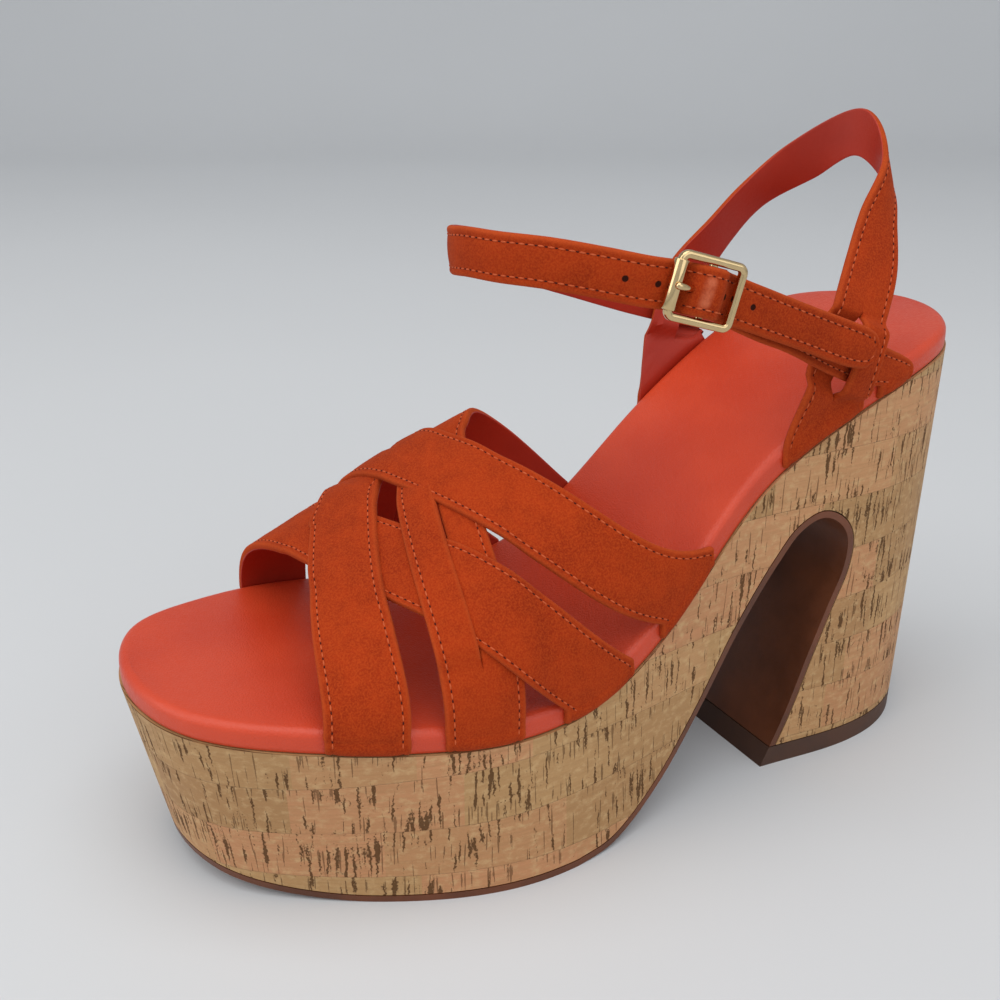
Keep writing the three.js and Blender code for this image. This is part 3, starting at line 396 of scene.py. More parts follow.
def makeLining():
    shader = Shader('redLining', Roughness=0.55, Specular_IOR_Level=0.4)
    place = shader.objectPlace()
    cloudy = shader.noise(place, 70.0, 3.0)
    grain = shader.noise(place, 1500.0, 3.0, 0.6)
    shader.use('Base Color', shader.blend(cloudy, colour(150, 34, 16), colour(182, 50, 26)))
    shader.use('Roughness', shader.ease(grain, 0.2, 0.8, 0.42, 0.62))
    shader.bump(grain, 0.00008, 0.5)
    return shader.material


def makeInsoleLeather():
    shader = Shader('insoleLeather', Roughness=0.42, Specular_IOR_Level=0.45, Coat_Weight=0.06,
                    Coat_Roughness=0.35)
    place = shader.objectPlace()
    cloudy = shader.noise(place, 24.0, 3.0, 0.55)
    pores = shader.node('ShaderNodeTexVoronoi', {'Vector': place, 'Scale': 1300.0},
                        feature='DISTANCE_TO_EDGE')
    grain = shader.noise(place, 900.0, 3.0, 0.6)
    base = shader.blend(shader.ease(cloudy, 0.3, 0.7), colour(192, 56, 24), colour(206, 68, 34))
    shader.use('Base Color', base)
    shader.use('Roughness', shader.ease(grain, 0.2, 0.8, 0.36, 0.5))
    height = shader.ease(pores, 0, 0.25) * 0.5 + grain * 0.5 + shader.noise(place, 60.0) * 1.5
    shader.bump(height, 0.00012, 0.55)
    return shader.material


def makeCork():
    shader = Shader('corkSheet', Roughness=0.72, Specular_IOR_Level=0.3)
    u, v, _ = shader.split(shader.ownMap())
    plain = shader.vector(u, v)
    sway = shader.noise(shader.scaled(plain, (0.012, 0.03, 0)), 1.0, 1.0) * 5
    # Strips of cork one above the other, each cut into pieces of its own tone
    stripHeight = 13.5
    stacked = (v + sway + 4) / stripHeight
    strip = shader.math('FLOOR', stacked)
    shift = shader.chance(shader.vector(strip, 3.1)) * 60
    piece = shader.math('FLOOR', (u + shift + 400) / (26 + shader.chance(shader.vector(strip, 8.7)) * 34))
    tone = shader.chance(shader.vector(strip, piece, 1.3))
    warmth = shader.chance(shader.vector(piece, strip, 5.9))
    base = shader.blend(tone, colour(190, 151, 102), colour(168, 127, 83))
    base = shader.blend(shader.ease(warmth, 0.45, 0.95) * 0.75, base, colour(196, 136, 96))
    # Fine layers along the strips
    layers = shader.noise(shader.scaled(plain, (0.05, 1.1, 0)), 1.0, 4.0, 0.7)
    base = shader.blend(shader.ease(layers, 0.35, 0.7) * 0.4, base, colour(158, 118, 76))
    mottle = shader.noise(shader.scaled(plain, (0.35, 0.5, 0)), 1.0, 4.0, 0.65)
    base = shader.blend(shader.ease(mottle, 0.45, 0.75) * 0.6, base, colour(206, 172, 124))
    # Dark pores as upright streaks, each within its own strip, in loose groups
    offset = shader.chance(shader.vector(strip, 2.2)) * 170
    upright = shader.vector(u + offset, v)
    wobble = shader.noise(shader.scaled(upright, (0.5, 0.9, 0)), 1.0, 2.0) * 1.1
    streaks = shader.noise(shader.vector((u + offset + wobble) * 0.98, v * 0.09 + strip * 7.3), 1.0, 1.0, 0.4)
    groups = shader.noise(shader.scaled(upright, (0.06, 0.09, 0)), 1.0, 2.0)
    ragged = shader.noise(shader.scaled(upright, (2.2, 1.4, 0)), 1.0, 3.0, 0.7)
    level = streaks + (groups - 0.5) * 0.5 + (ragged - 0.5) * 0.34
    dark = shader.ease(level, 0.64, 0.69)
    crumbs = shader.noise(shader.scaled(upright, (0.8, 0.75, 0)), 1.0, 4.0, 0.75)
    dark = shader.math('MAXIMUM', dark, shader.ease(crumbs + (groups - 0.5) * 0.45, 0.68, 0.72))
    thin = shader.noise(shader.vector((u + offset) * 1.9, v * 0.1 + strip * 4.1), 1.0, 0.0)
    dark = shader.math('MAXIMUM', dark, shader.ease(thin + (ragged - 0.5) * 0.18, 0.7, 0.75) * 0.7)
    halo = shader.ease(level, 0.59, 0.68) * 0.35
    base = shader.blend(halo, base, colour(150, 108, 62))
    base = shader.blend(dark * 0.86, base, colour(80, 50, 22))
    # Joins between strips show as faint dark lines
    within = shader.math('FRACT', stacked)
    join = shader.ease(shader.math('ABSOLUTE', within - 0.5), 0.488, 0.5)
    base = shader.blend(join * shader.ease(mottle, 0.35, 0.6) * 0.3, base, colour(128, 92, 54))
    shader.use('Base Color', base)
    shader.use('Roughness', shader.ease(dark, 0, 1, 0.62, 0.9))
    shader.bump(mottle * 0.5 + layers * 0.35 - dark * 1.4 - join * 0.5, 0.00035, 0.7)
    return shader.material


def makeSoleLeather(name, first, second, roughness):
    shader = Shader(name, Roughness=roughness, Specular_IOR_Level=0.45)
    place = shader.objectPlace()
    cloudy = shader.noise(place, 45.0, 4.0, 0.6)
    grain = shader.noise(place, 1200.0, 3.0)
    shader.use('Base Color', shader.blend(shader.ease(cloudy, 0.3, 0.7), first, second))
    shader.use('Roughness', shader.ease(cloudy, 0.2, 0.8, roughness - 0.08, roughness + 0.1))
    shader.bump(grain * 0.5 + cloudy, 0.0001, 0.5)
    return shader.material


def makeGold():
    shader = Shader('paleGold', Metallic=1.0, Roughness=0.2)
    place = shader.objectPlace()
    worn = shader.noise(place, 260.0, 4.0, 0.6)
    shader.use('Base Color', shader.blend(worn, colour(198, 170, 122), colour(222, 196, 150)))
    shader.use('Roughness', shader.ease(worn, 0.3, 0.7, 0.08, 0.16))
    shader.bump(worn, 0.00003, 0.4)
    return shader.material


def makePlain(name, first, second, roughness, scale):
    shader = Shader(name, Roughness=roughness, Specular_IOR_Level=0.3)
    worn = shader.noise(shader.objectPlace(), scale, 2.0)
    shader.use('Base Color', shader.blend(worn, first, second))
    return shader.material


# Meshes. Points come in millimetres in the model's own frame before it is centred.
def tubeFaces(levels, count, closed=False):
    faces = []
    for i in range(levels if closed else levels - 1):
        row, following = i * count, (i + 1) % levels * count
        for k in range(count):
            beside = (k + 1) % count
            faces.append((row + k, row + beside, following + beside, following + k))
    return faces


def block(rings):
    count = len(rings[0])
    points = np.concatenate(rings)
    faces = tubeFaces(len(rings), count)
    top = (len(rings) - 1) * count
    # Each end is closed by strips from one side of the ring to the other
    for i in range(count // 2):
        strip = list(dict.fromkeys([i, i + 1, count - i - 1, (count - i) % count]))
        faces.append(tuple(top + k for k in strip))
        faces.append(tuple(reversed(strip)))
    return points, faces


def ringAngles():
    steps = last['outlineSteps']
    index = np.arange(2 * steps)
    lateral = index <= steps
    return np.where(lateral, 1, -1), math.pi * np.where(lateral, index, 2 * steps - index) / steps


def ring(inwardAt, heightAt):
    sides, angles = ringAngles()
    rows = np.zeros((len(sides), 3))
    for side in (1, -1):
        chosen = sides == side
        _, bareY = outlinePoint(side, angles[chosen], 0)
        x, y = outlinePoint(side, angles[chosen], inwardAt(bareY))
        rows[chosen] = np.stack([x, y, heightAt(y)], axis=1)
    return rows


def soleRings():
    foot = sole['blockFoot']

    def inward(y):
        return undercutAt(shareAt(y)) * (1 - foot / underside(y))

    bottom = ring(inward, lambda y: np.full_like(y, foot))
    top = ring(np.zeros_like, lambda y: underside(y) - gap)
    return [bottom, top]


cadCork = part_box('cork_unit')
ownCork = np.concatenate(soleRings())
shiftX = (cadCork[0][0] + cadCork[1][0]) / 2 - (ownCork[:, 0].min() + ownCork[:, 0].max()) / 2000
shiftY = (cadCork[0][1] + cadCork[1][1]) / 2 - (ownCork[:, 1].min() + ownCork[:, 1].max()) / 2000


def toFrame(points):
    return np.asarray(points, float) / 1000 + np.array([shiftX, shiftY, 0])


def finishShading(mesh, sharp=40):
    mesh.shade_smooth()
    mesh.set_sharp_from_angle(angle=math.radians(sharp))


def newObject(name, points, faces, materials, sharp=40):
    mesh = bpy.data.meshes.new(name)
    mesh.from_pydata(toFrame(points).tolist(), [], faces)
    mesh.validate()
    for material in materials:
        mesh.materials.append(material)
    finishShading(mesh, sharp)
    return placed(name, mesh)


def placed(name, data):
    made = bpy.data.objects.new(name, data)
    bpy.context.scene.collection.objects.link(made)
    return made


def settle(made, slotName, *nodes):
    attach(made, 'root')
    if nodes:
        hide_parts(*nodes)


def acrossFoot(profile):
    width = 2 * last['ballWidth']
    count = len(profile)
    sides = [np.column_stack([np.full(count, x), profile]) for x in (-width / 2, width / 2)]
    faces = [(i, count + i, count + (i + 1) % count, (i + 1) % count) for i in range(count)]
    faces += [tuple(range(count)), tuple(reversed(range(count, 2 * count)))]
    return np.concatenate(sides), faces


def solePath():
    share = np.linspace(sole['toeStart'], last['toeFlatStart'], sole['toeSteps'])
    toe = np.column_stack([yAt(share), last['toeSpring'] * (1 - share / last['toeFlatStart']) ** 2])
    knots = np.array([(yAt(along), up * last['archHeight']) for along, up in archTable])
    arch = alongCurve(knots, placesFor([sole['archSteps']] * (len(knots) - 1)))
    return np.concatenate([toe, arch])


def underSole(growth):
    path = solePath()
    ahead = unit(np.concatenate([path[1:], path[-1:]]) - np.concatenate([path[:1], path[:-1]]))
    moved = path + growth * np.column_stack([-ahead[:, 1], ahead[:, 0]])
    floor = -2 * sole['topPiece']
    slant = unit(moved[-1] - moved[-8])
    foot = moved[-1] + slant * (floor - moved[-1][1]) / slant[1]
    return acrossFoot(np.concatenate([moved, [foot], [(moved[0][0], floor)]]))


def heelZone(bottom, top):
    front, rear = float(yAt(sole['heelZoneFront'])), last['footLength']
    return acrossFoot(np.array([(front, top), (rear, top), (rear, bottom), (front, bottom)]))


def bakeModifiers(made):
    graph = bpy.context.evaluated_depsgraph_get()
    mesh = bpy.data.meshes.new_from_object(made.evaluated_get(graph))
    made.modifiers.clear()
    made.data = mesh


def cutWith(made, shape, operation):
    tool = newObject('tool', *shape, [])
    modifier = made.modifiers.new('cut', 'BOOLEAN')
    modifier.operation = operation
    modifier.solver = 'EXACT'
    modifier.object = tool
    bakeModifiers(made)
    bpy.data.objects.remove(tool)


# The wall's own map: millimetres round the outline from the toe, and up
def mapWalls(made, points):
    half = last['outlineSteps']
    count = 2 * half
    top = points[count:]
    lengths = {}
    for side in (1, -1):
        order = list(range(0, half + 1)) if side > 0 else [0] + list(range(count - 1, half - 1, -1))
        lengths[side] = dict(zip(order, side * lengthSoFar(top[order][:, :2])))
    layer = made.data.uv_layers.new(name='millimetres')
    for polygon in made.data.polygons:
        rows = [made.data.loops[i].vertex_index % count for i in polygon.loop_indices]
        side = 1 if max(rows) <= half and rows.count(0) < 4 else -1
        for i, row in zip(polygon.loop_indices, rows):
            height = made.data.vertices[made.data.loops[i].vertex_index].co.z * 1000
            layer.data[i].uv = (lengths[side].get(row, 0), height)


def makeSole(corkMaterial, soleMaterial, topPieceMaterial):
    points, faces = block(soleRings())
    aboveTopPiece = heelZone(-2 * sole['topPiece'], sole['topPiece'] + gap)
    pieces = [
        ('corkWrap', corkMaterial, 'cork', 'cork_unit', [
            (underSole(sole['outsole'] + gap), 'DIFFERENCE'), (aboveTopPiece, 'DIFFERENCE')]),
        ('soleCovering', soleMaterial, 'sole', 'outsole', [
            (underSole(sole['outsole']), 'INTERSECT'), (underSole(0), 'DIFFERENCE'),
            (aboveTopPiece, 'DIFFERENCE')]),
        ('heelTopPiece', topPieceMaterial, 'sole', 'heel_top_piece', [
            (heelZone(0, sole['topPiece']), 'INTERSECT'), (underSole(0), 'DIFFERENCE')]),
    ]
    for name, material, slotName, node, cuts in pieces:
        made = newObject(name, points, faces, [material])
        if material is corkMaterial:
            mapWalls(made, points)
        for shape, operation in cuts:
            cutWith(made, shape, operation)
        finishShading(made.data)
        settle(made, slotName, node)


def makeInsole(material):
    corner = insole['edgeRound']
    edge = insole['coverSetback']
    levels = [
        (edge + insole['footInset'], underside),
        (edge, lambda y: underside(y) + insole['footHeight']),
    ]
    for share in (0.35, 0.7):
        levels.append((
            edge - insole['bulge'],
            lambda y, share=share: mix(underside(y), footbed(y) - corner, share)))
    for i in range(insole['roundSteps'] + 1):
        turn = math.pi / 2 * i / insole['roundSteps']
        drop = corner * (1 - math.sin(turn))
        inward = edge + corner * (1 - math.cos(turn))
        levels.append((inward, lambda y, drop=drop: footbed(y) - drop))
    rings = [ring(lambda y, inward=inward: inward + 0 * y, heightAt) for inward, heightAt in levels]
    # The top is a little hollow across the foot, so it is made of rings that close towards the middle
    outer = rings[-1]
    partner = -np.arange(len(outer)) % len(outer)
    middle = (outer + outer[partner]) / 2
    width = np.linalg.norm(outer - outer[partner], axis=1) / 2
    depth = insole['hollow'] * np.clip(width / insole['hollowReach'], 0, 1)
    for share in (0.06, 0.14, 0.26, 0.42, 0.6, 0.8, 0.99):
        inner = mix(outer, middle, share)
        inner[:, 2] = footbed(inner[:, 1]) - depth * smoothStep(0, 1, share)
        rings.append(inner)
    points, faces = block(rings)
    settle(newObject('insoleCover', points, faces, [material], 50), 'insole', 'insole')


# A strap as one closed shell on a grid of inner points (along, across)
def gridNormals(grid):
    along = np.gradient(grid, axis=0)
    across = np.gradient(grid, axis=1)
    return unit(np.cross(along, across))


def edgeFall(distance, radius):
    radius = np.maximum(radius, 1e-6)
    inside = np.clip(radius - distance, 0, radius)
    return radius - np.sqrt(radius ** 2 - inside ** 2)


def strapShell(grid, thickness, lift, creases=(), squares=(None, None)):
    rows, columns = grid.shape[:2]
    normals = gridNormals(grid)
    across = lengthSoFar(grid.swapaxes(0, 1)).T
    total = across[:, -1:]
    along = np.repeat(lengthSoFar(grid[:, columns // 2])[:, None], columns, axis=1)
    ends = [(across, squares[0]), (total - across, squares[1])]
    outer = np.full((rows, columns), float(thickness))
    inner = np.zeros((rows, columns))
    for distance, apart in ends:
        radius = shell['edgeRound'] * (np.ones((rows, 1)) if apart is None else apart[:, None])
        outer -= edgeFall(distance, radius)
        inner += edgeFall(distance, radius * shell['liningRound'] / shell['edgeRound'])
        if apart is None:
            outer -= seam['groove'] * np.exp(-((distance - seam['inset']) / seam['grooveWidth']) ** 2)
            risen = smoothStep(seam['inset'], seam['inset'] + shell['crownReach'], distance)
            outer += shell['crown'] * (risen - 0.5)
    # A crease's place along, slope, share across, reach across, depth and width
    for place, slope, share, reach, depth, width in creases:
        line = along - place - slope * (across - total / 2)
        window = np.exp(-((across - total * share) / reach) ** 2)
        dent = depth * window * np.exp(-(line / width) ** 2)
        outer -= dent
        inner -= dent
    outerPoints = grid + normals * (lift + outer)[..., None]
    innerPoints = grid + normals * (lift + inner)[..., None]

    # A face's corners are (row, column, level), with level 0 outside and 1 on the lining
    def face(*corners):
        return tuple((level * rows + j) * columns + k for j, k, level in corners)

    faces = []
    kinds = []
    lastRow, lastColumn = rows - 1, columns - 1
    for j in range(lastRow):
        for k in range(lastColumn):
            faces.append(face((j, k, 0), (j + 1, k, 0), (j + 1, k + 1, 0), (j, k + 1, 0)))
            faces.append(face((j, k, 1), (j, k + 1, 1), (j + 1, k + 1, 1), (j + 1, k, 1)))
            kinds += [0, 1]
        faces.append(face((j, 0, 0), (j, 0, 1), (j + 1, 0, 1), (j + 1, 0, 0)))
        faces.append(face((j, lastColumn, 0), (j + 1, lastColumn, 0), (j + 1, lastColumn, 1),
                          (j, lastColumn, 1)))
        kinds += [0, 0]
    for k in range(lastColumn):
        faces.append(face((0, k, 0), (0, k + 1, 0), (0, k + 1, 1), (0, k, 1)))
        faces.append(face((lastRow, k, 0), (lastRow, k, 1), (lastRow, k + 1, 1), (lastRow, k + 1, 0)))
        kinds += [0, 0]
    # An edge that lies inside a joined strap counts as far away
    fromEdge = [distance if apart is None else distance + 50 * (1 - apart[:, None])
                for distance, apart in ends]
    return {
        'points': np.concatenate([outerPoints.reshape(-1, 3), innerPoints.reshape(-1, 3)]),
        'faces': faces, 'kinds': kinds, 'outer': outerPoints, 'across': across, 'total': total,
        'map': np.concatenate([np.stack([along, across], 2).reshape(-1, 2)] * 2),
        'fromEdge': np.concatenate([np.minimum(*fromEdge).ravel()] * 2),
    }


def joinShells(name, shells, materials):
    faces, kinds = [], []
    start = 0
    for part in shells:
        faces += [tuple(start + i for i in face) for face in part['faces']]
        kinds += part['kinds']
        start += len(part['points'])
    points, maps, fromEdge = (
        np.concatenate([part[key] for part in shells]) for key in ('points', 'map', 'fromEdge'))
    made = newObject(name, points, faces, materials)
    made.data.polygons.foreach_set('material_index', kinds)
    indices = np.zeros(len(made.data.loops), int)
    made.data.loops.foreach_get('vertex_index', indices)
    flats = {'millimetres': maps, 'fromEdge': np.column_stack([fromEdge, fromEdge])}
    for mapName, flat in flats.items():
        layer = made.data.uv_layers.new(name=mapName)
        layer.data.foreach_set('uv', flat[indices].ravel())
    return made


# The line of a seam on a shell's outer face, at the seam's inset from one edge
def seamLine(part, fromEnd, skipStart, skipEnd):
    outer, across, total = part['outer'], part['across'], part['total']
    line = []
    for j in range(skipStart, len(outer) - skipEnd):
        distance = total[j, 0] - across[j][::-1] if fromEnd else across[j]
        row = outer[j][::-1] if fromEnd else outer[j]
        line.append([np.interp(seam['inset'], distance, row[:, axis]) for axis in range(3)])
    return np.array(line)


# The seams along both edges of a strap, without the rows hidden at its ends
def seamPair(parts, skip):
    return [seamLine(parts[0], False, *skip), seamLine(parts[-1], True, *skip)]


def stitchGroup(threadMaterial, holeShadeMaterial):
    group = bpy.data.node_groups.new('stitching', 'GeometryNodeTree')
    for direction in ('INPUT', 'OUTPUT'):
        group.interface.new_socket('Geometry', in_out=direction, socket_type='NodeSocketGeometry')

    def node(kind, inputs=None, **settings):
        made = group.nodes.new(kind)
        for key, value in settings.items():
            setattr(made, key, value)
        for key, value in (inputs or {}).items():
            if isinstance(value, bpy.types.NodeSocket):
                group.links.new(value, made.inputs[key])
            else:
                made.inputs[key].default_value = value
        return made.outputs[0] if made.outputs else made

    line = node('GeometryNodeMeshToCurve', {0: node('NodeGroupInput')})
    spaced = node('GeometryNodeResampleCurve', {0: line, 'Length': seam['pitch'] / 1000}, mode='LENGTH')
    turn = node('FunctionNodeAlignRotationToVector', {'Vector': node('GeometryNodeInputTangent')})

    def shape(radii, move, material, segments, rings):
        ball = node('GeometryNodeMeshUVSphere', {'Segments': segments, 'Rings': rings, 'Radius': 0.001})
        moved = node('GeometryNodeTransform', {0: ball, 'Translation': move, 'Scale': radii})
        smooth = node('GeometryNodeSetShadeSmooth', {0: moved})
        painted = node('GeometryNodeSetMaterial', {0: smooth, 'Material': material})
        inputs = {0: spaced, 'Instance': painted, 'Rotation': turn}
        return node('GeometryNodeRealizeInstances', {0: node('GeometryNodeInstanceOnPoints', inputs)})

    thick = seam['thread'] / 2
    halfPitch = (0, 0, seam['pitch'] / 2000)
    thread = shape((thick, thick, seam['length'] / 2), halfPitch, threadMaterial, 8, 6)
    # Each stitch gets a small dark shape where the thread enters, painted shade of the needle hole
    hole = shape(seam['hole'], (0, 0, 0), holeShadeMaterial, 6, 4)
    both = group.nodes.new('GeometryNodeJoinGeometry')
    for part in (thread, hole):
        group.links.new(part, both.inputs[0])
    node('NodeGroupOutput', {0: both.outputs[0]})
    return group


def makeStitches(name, lines, group):
    points = []
    edges = []
    for line in lines:
        start = len(points)
        points += toFrame(line).tolist()
        edges += [(start + i, start + i + 1) for i in range(len(line) - 1)]
    mesh = bpy.data.meshes.new(name)
    mesh.from_pydata(points, edges, [])
    made = placed(name, mesh)
    made.modifiers.new('stitching', 'NODES').node_group = group
    bakeModifiers(made)
    settle(made, 'suede')
    print(name, len(made.data.polygons), 'faces')


def makeStrap(name, node, shells, lines, looks):
    made = joinShells(name + 'Suede', shells, [looks['suede'], looks['lining']])
    settle(made, 'suede', node)
    makeStitches(name + 'Stitches', lines, looks['stitching'])


def columnShares(width, slit=None):
    near = np.array([0, 0.1, 0.3, 0.55, 0.85, 1.2, 1.5, 1.8, 2.1, 2.4, 3.2])
    low = near / width
    inner = np.linspace(low[-1], 1 - low[-1], 9)[1:-1]
    shares = np.concatenate([low, inner, 1 - low[::-1]])
    if slit is not None:
        beside = [slit, slit - 0.012, slit + 0.012, slit - 0.03, slit + 0.03]
        shares = np.sort(np.concatenate([shares[np.abs(shares - slit) > 0.02], beside]))
    return shares - 0.5


def tuckPoints(side, along):
    angle = angleAt(along)
    length, raised = vamp['tuckLength'], vamp['tuckLift']
    rows = [(length, 0, raised), (length / 3, 0, raised), (0, 0, raised), (0, vamp['tuckRise'], 0)]
    found = []
    for inward, up, lift in rows:
        x, y = outlinePoint(side, angle, insole['setback'] - sideGap + inward)
        z = mix(underside(y), footbed(y), up) + lift * vamp['thickness'] * steepness(y)
        found.append(np.stack([x, y, z], axis=-1))
    return found


# The foot's surface over the insole, at shares across (medial -1, lateral 1) and along
def footPoint(across, along):
    across, along = np.broadcast_arrays(np.asarray(across, float), np.asarray(along, float))
    shape = across.shape
    across, along = across.ravel(), along.ravel()
    angle = angleAt(along)
    inward = insole['setback'] - sideGap
    lateral = outlinePoint(1, angle, inward)[0][:, None]
    medial = outlinePoint(-1, angle, inward)[0][:, None]
    y = yAt(along)
    base = mix(underside(y), footbed(y), vamp['sectionBase'])[:, None]
    crown = (lateral + medial) / 2 + vamp['crownShift'] * last['ballWidth']
    power = 2 / vamp['crownRoundness']
    steps = vamp['sectionSteps']
    index = np.arange(-steps, steps + 1)
    turn = np.pi / 2 * np.abs(index) / steps
    x = crown + (np.where(index < 0, medial, lateral) - crown) * np.sin(turn) ** power
    z = base + instepAt(along)[:, None] * np.clip(np.cos(turn), 0, 1) ** power
    reach = np.cumsum(np.hypot(np.diff(x, axis=1), np.diff(z, axis=1)), axis=1)
    reach = np.concatenate([np.zeros((len(x), 1)), reach], axis=1)
    reach -= reach[:, steps:steps + 1]
    wanted = across * np.where(across < 0, -reach[:, 0], reach[:, -1])
    rows = np.arange(len(x))
    i = np.clip(np.sum(reach < wanted[:, None], axis=1) - 1, 0, 2 * steps - 1)
    share = (wanted - reach[rows, i]) / (reach[rows, i + 1] - reach[rows, i])
    foundX = mix(x[rows, i], x[rows, i + 1], share)
    foundZ = mix(z[rows, i], z[rows, i + 1], share)
    return np.stack([foundX, y, foundZ], axis=1).reshape(shape + (3,))


def halfExtent(name, across):
    step = 0.02
    path = pathOf[name]
    here = footPoint(across, path(across))
    slant = footPoint(across + step, path(across + step)) - footPoint(across - step, path(across - step))
    forward = (footPoint(across, path(across) + step) - here) / step
    sine = np.linalg.norm(np.cross(forward, slant), axis=-1)
    sine = sine / np.linalg.norm(forward, axis=-1) / np.linalg.norm(slant, axis=-1)
    return vamp['width'] / 2 / (np.linalg.norm(forward, axis=-1) * sine)


overlays = [('frontOuter', 'frontInner'), ('rearInner', 'rearOuter')]
threads = [('frontInner', 'rearOuter'), ('frontOuter', 'rearInner')]


def covering(distance, half):
    start = half + vamp['layerMargin']
    return 1 - smoothStep(start, start + vamp['layerRamp'], np.abs(distance))


def layerAt(name, part, across, along):
    half = vamp['width'] / 2
    level = np.zeros_like(along)

    def offset(other):
        return (along - pathOf[other](across)) * last['footLength']

    for upper, lower in overlays:
        if upper == name:
            level = np.maximum(level, covering(offset(lower), half))
    for strap, slitIn in threads:
        if strap == name:
            out = smoothStep(-vamp['layerRamp'] / 2, vamp['layerRamp'] / 2, offset(slitIn))
            level = np.maximum(level, np.minimum(out, covering(offset(slitIn), half)))
        if slitIn == name and part == 'front':
            apart = (pathOf[strap](across) - pathOf[name](across)) * last['footLength']
            level = np.maximum(level, covering(apart + half / 2, half * 1.5))
    return level * (vamp['thickness'] - vamp['layerDrop'])


def vampStrap(name):
    slit = any(name == slitIn for _, slitIn in threads)
    shares = columnShares(vamp['width'], 0.5 if slit else None)
    path = pathOf[name]
    count = vamp['rows']
    index = np.arange(1, count)
    across = mix(-1, 1, index / count) * vamp['evenShare']
    across = across - np.cos(np.pi * index / count) * (1 - vamp['evenShare'])
    extent = halfExtent(name, across)
    body = footPoint(across[:, None], path(across)[:, None] + 2 * extent[:, None] * shares)
    ends = {}
    for side in (-1, 1):
        reach = halfExtent(name, np.array([float(side)]))[0]
        ends[side] = tuckPoints(side, float(path(side)) + 2 * reach * shares)
    knots = np.concatenate([np.array(ends[-1]), body, np.array(ends[1][::-1])])
    places = placesFor(vamp['tuckSteps'] + [1] * (len(body) - 1) + vamp['tuckSteps'][::-1])
    grid = alongCurve(knots, places)
    acrossKnots = np.concatenate([[-1] * 4, across, [1] * 4])
    acrossRows = np.interp(places * (len(knots) - 1), np.arange(len(knots)), acrossKnots)[:, None]
    free = smoothStep(0, 0.02, 1 - np.abs(acrossRows))

    def lift(part):
        wide = np.repeat(acrossRows, grid.shape[1], 1)
        return layerAt(name, part, wide, shareAt(grid[..., 1])) * free

    if not slit:
        return [strapShell(grid, vamp['thickness'], lift('whole'))]
    middle = int(np.argmin(np.abs(shares)))
    front, rear = lift('front'), lift('rear')
    return slitShells(grid, vamp['thickness'], front, rear, middle)


# The two parts beside a slit, whose facing edges are rounded only where they stand apart
def slitShells(grid, thickness, low, high, middle, creases=()):
    apart = np.clip(np.abs(high - low)[:, middle] / 0.5, 0, 1)
    return [
        strapShell(grid[:, :middle + 1], thickness, low[:, :middle + 1], creases, (None, apart)),
        strapShell(grid[:, middle:], thickness, high[:, middle:], (), (apart, None)),
    ]


def makeVamp(looks):
    shells = []
    lines = []
    for name in strapNames:
        parts = vampStrap(name)
        shells += parts
        lines += seamPair(parts, vamp['seamSkip'])
    makeStrap('vamp', 'vamp_straps', shells, lines, looks)


# Straps round the ankle
def bandRows(centres, widths, leans):
    centres = np.array(centres, float)
    count = len(centres)
    place = np.arange(count) / (count - 1)
    step = 0.0001
    after, before = (alongCurve(centres, np.clip(place + move, 0, 1)) for move in (step, -step))
    tangent = unit(after - before)
    spine = np.clip(centres[:, 1], yAt(ankle['spineFront']), yAt(ankle['spineRear']))
    outward = np.column_stack([centres[:, 0], centres[:, 1] - spine, np.zeros(count)])
    outward = unit(outward - tangent * np.sum(outward * tangent, axis=1, keepdims=True))
    turn = np.radians(np.array(leans, float))[:, None]
    up = np.cross(outward, tangent) * np.cos(turn) + outward * np.sin(turn)
    widths = np.array(widths, float)
    return {'centre': centres, 'tangent': tangent, 'outward': outward, 'up': up, 'width': widths}


def bandGrid(rows, shares, startTuck, endTuck, spacing=1.1):
    def tuckRows(tuck):
        side, along, width, rise = tuck
        found = tuckPoints(side, along + shares * width / last['footLength'])
        if rise > 0:
            found.append(found[-1] + np.array([0, 0, rise * insole['thickness']]))
        return found

    spread = (shares[None, :] * rows['width'][:, None])[..., None]
    knots = list(rows['centre'][:, None] + rows['up'][:, None] * spread)
    if startTuck:
        knots = tuckRows(startTuck) + knots
    if endTuck:
        knots = knots + tuckRows(endTuck)[::-1]
    knots = np.array(knots)
    lengths = np.linalg.norm(np.diff(knots[:, len(shares) // 2], axis=0), axis=1)
    counts = [max(3, int(math.ceil(length / spacing))) for length in lengths]
    return alongCurve(knots, placesFor(counts))


def anklePoint(row):
    return np.array([row['side'] * ankle['halfWidth'], float(yAt(row['along'])),
                     row['up'] * ankle['height']])


def ankleTuck(side):
    return side, ankle['tuckAlong'], ankle['tuckWidth'] * ankle['width'], 0


def ankleBand():
    return bandRows([anklePoint(row) for row in ankleRows],
                    [row['width'] * ankle['width'] for row in ankleRows],
                    [row['lean'] for row in ankleRows])


strapDrop = buckle['roller'] / 2 + ankle['thickness'] + gap


def buckleAxes():
    band = ankleBand()
    centre, tangent, outward, up = (
        band[key][ankle['buckleRow']] for key in ('centre', 'tangent', 'outward', 'up'))
    origin = centre + outward * (strapDrop - buckle['frameHeight'])
    return np.column_stack([tangent, up, outward]), origin


def fromBuckle(points):
    axes, origin = buckleAxes()
    return np.asarray(points, float) @ axes.T + origin


def toBuckle(points):
    axes, origin = buckleAxes()
    return (points - origin) @ axes


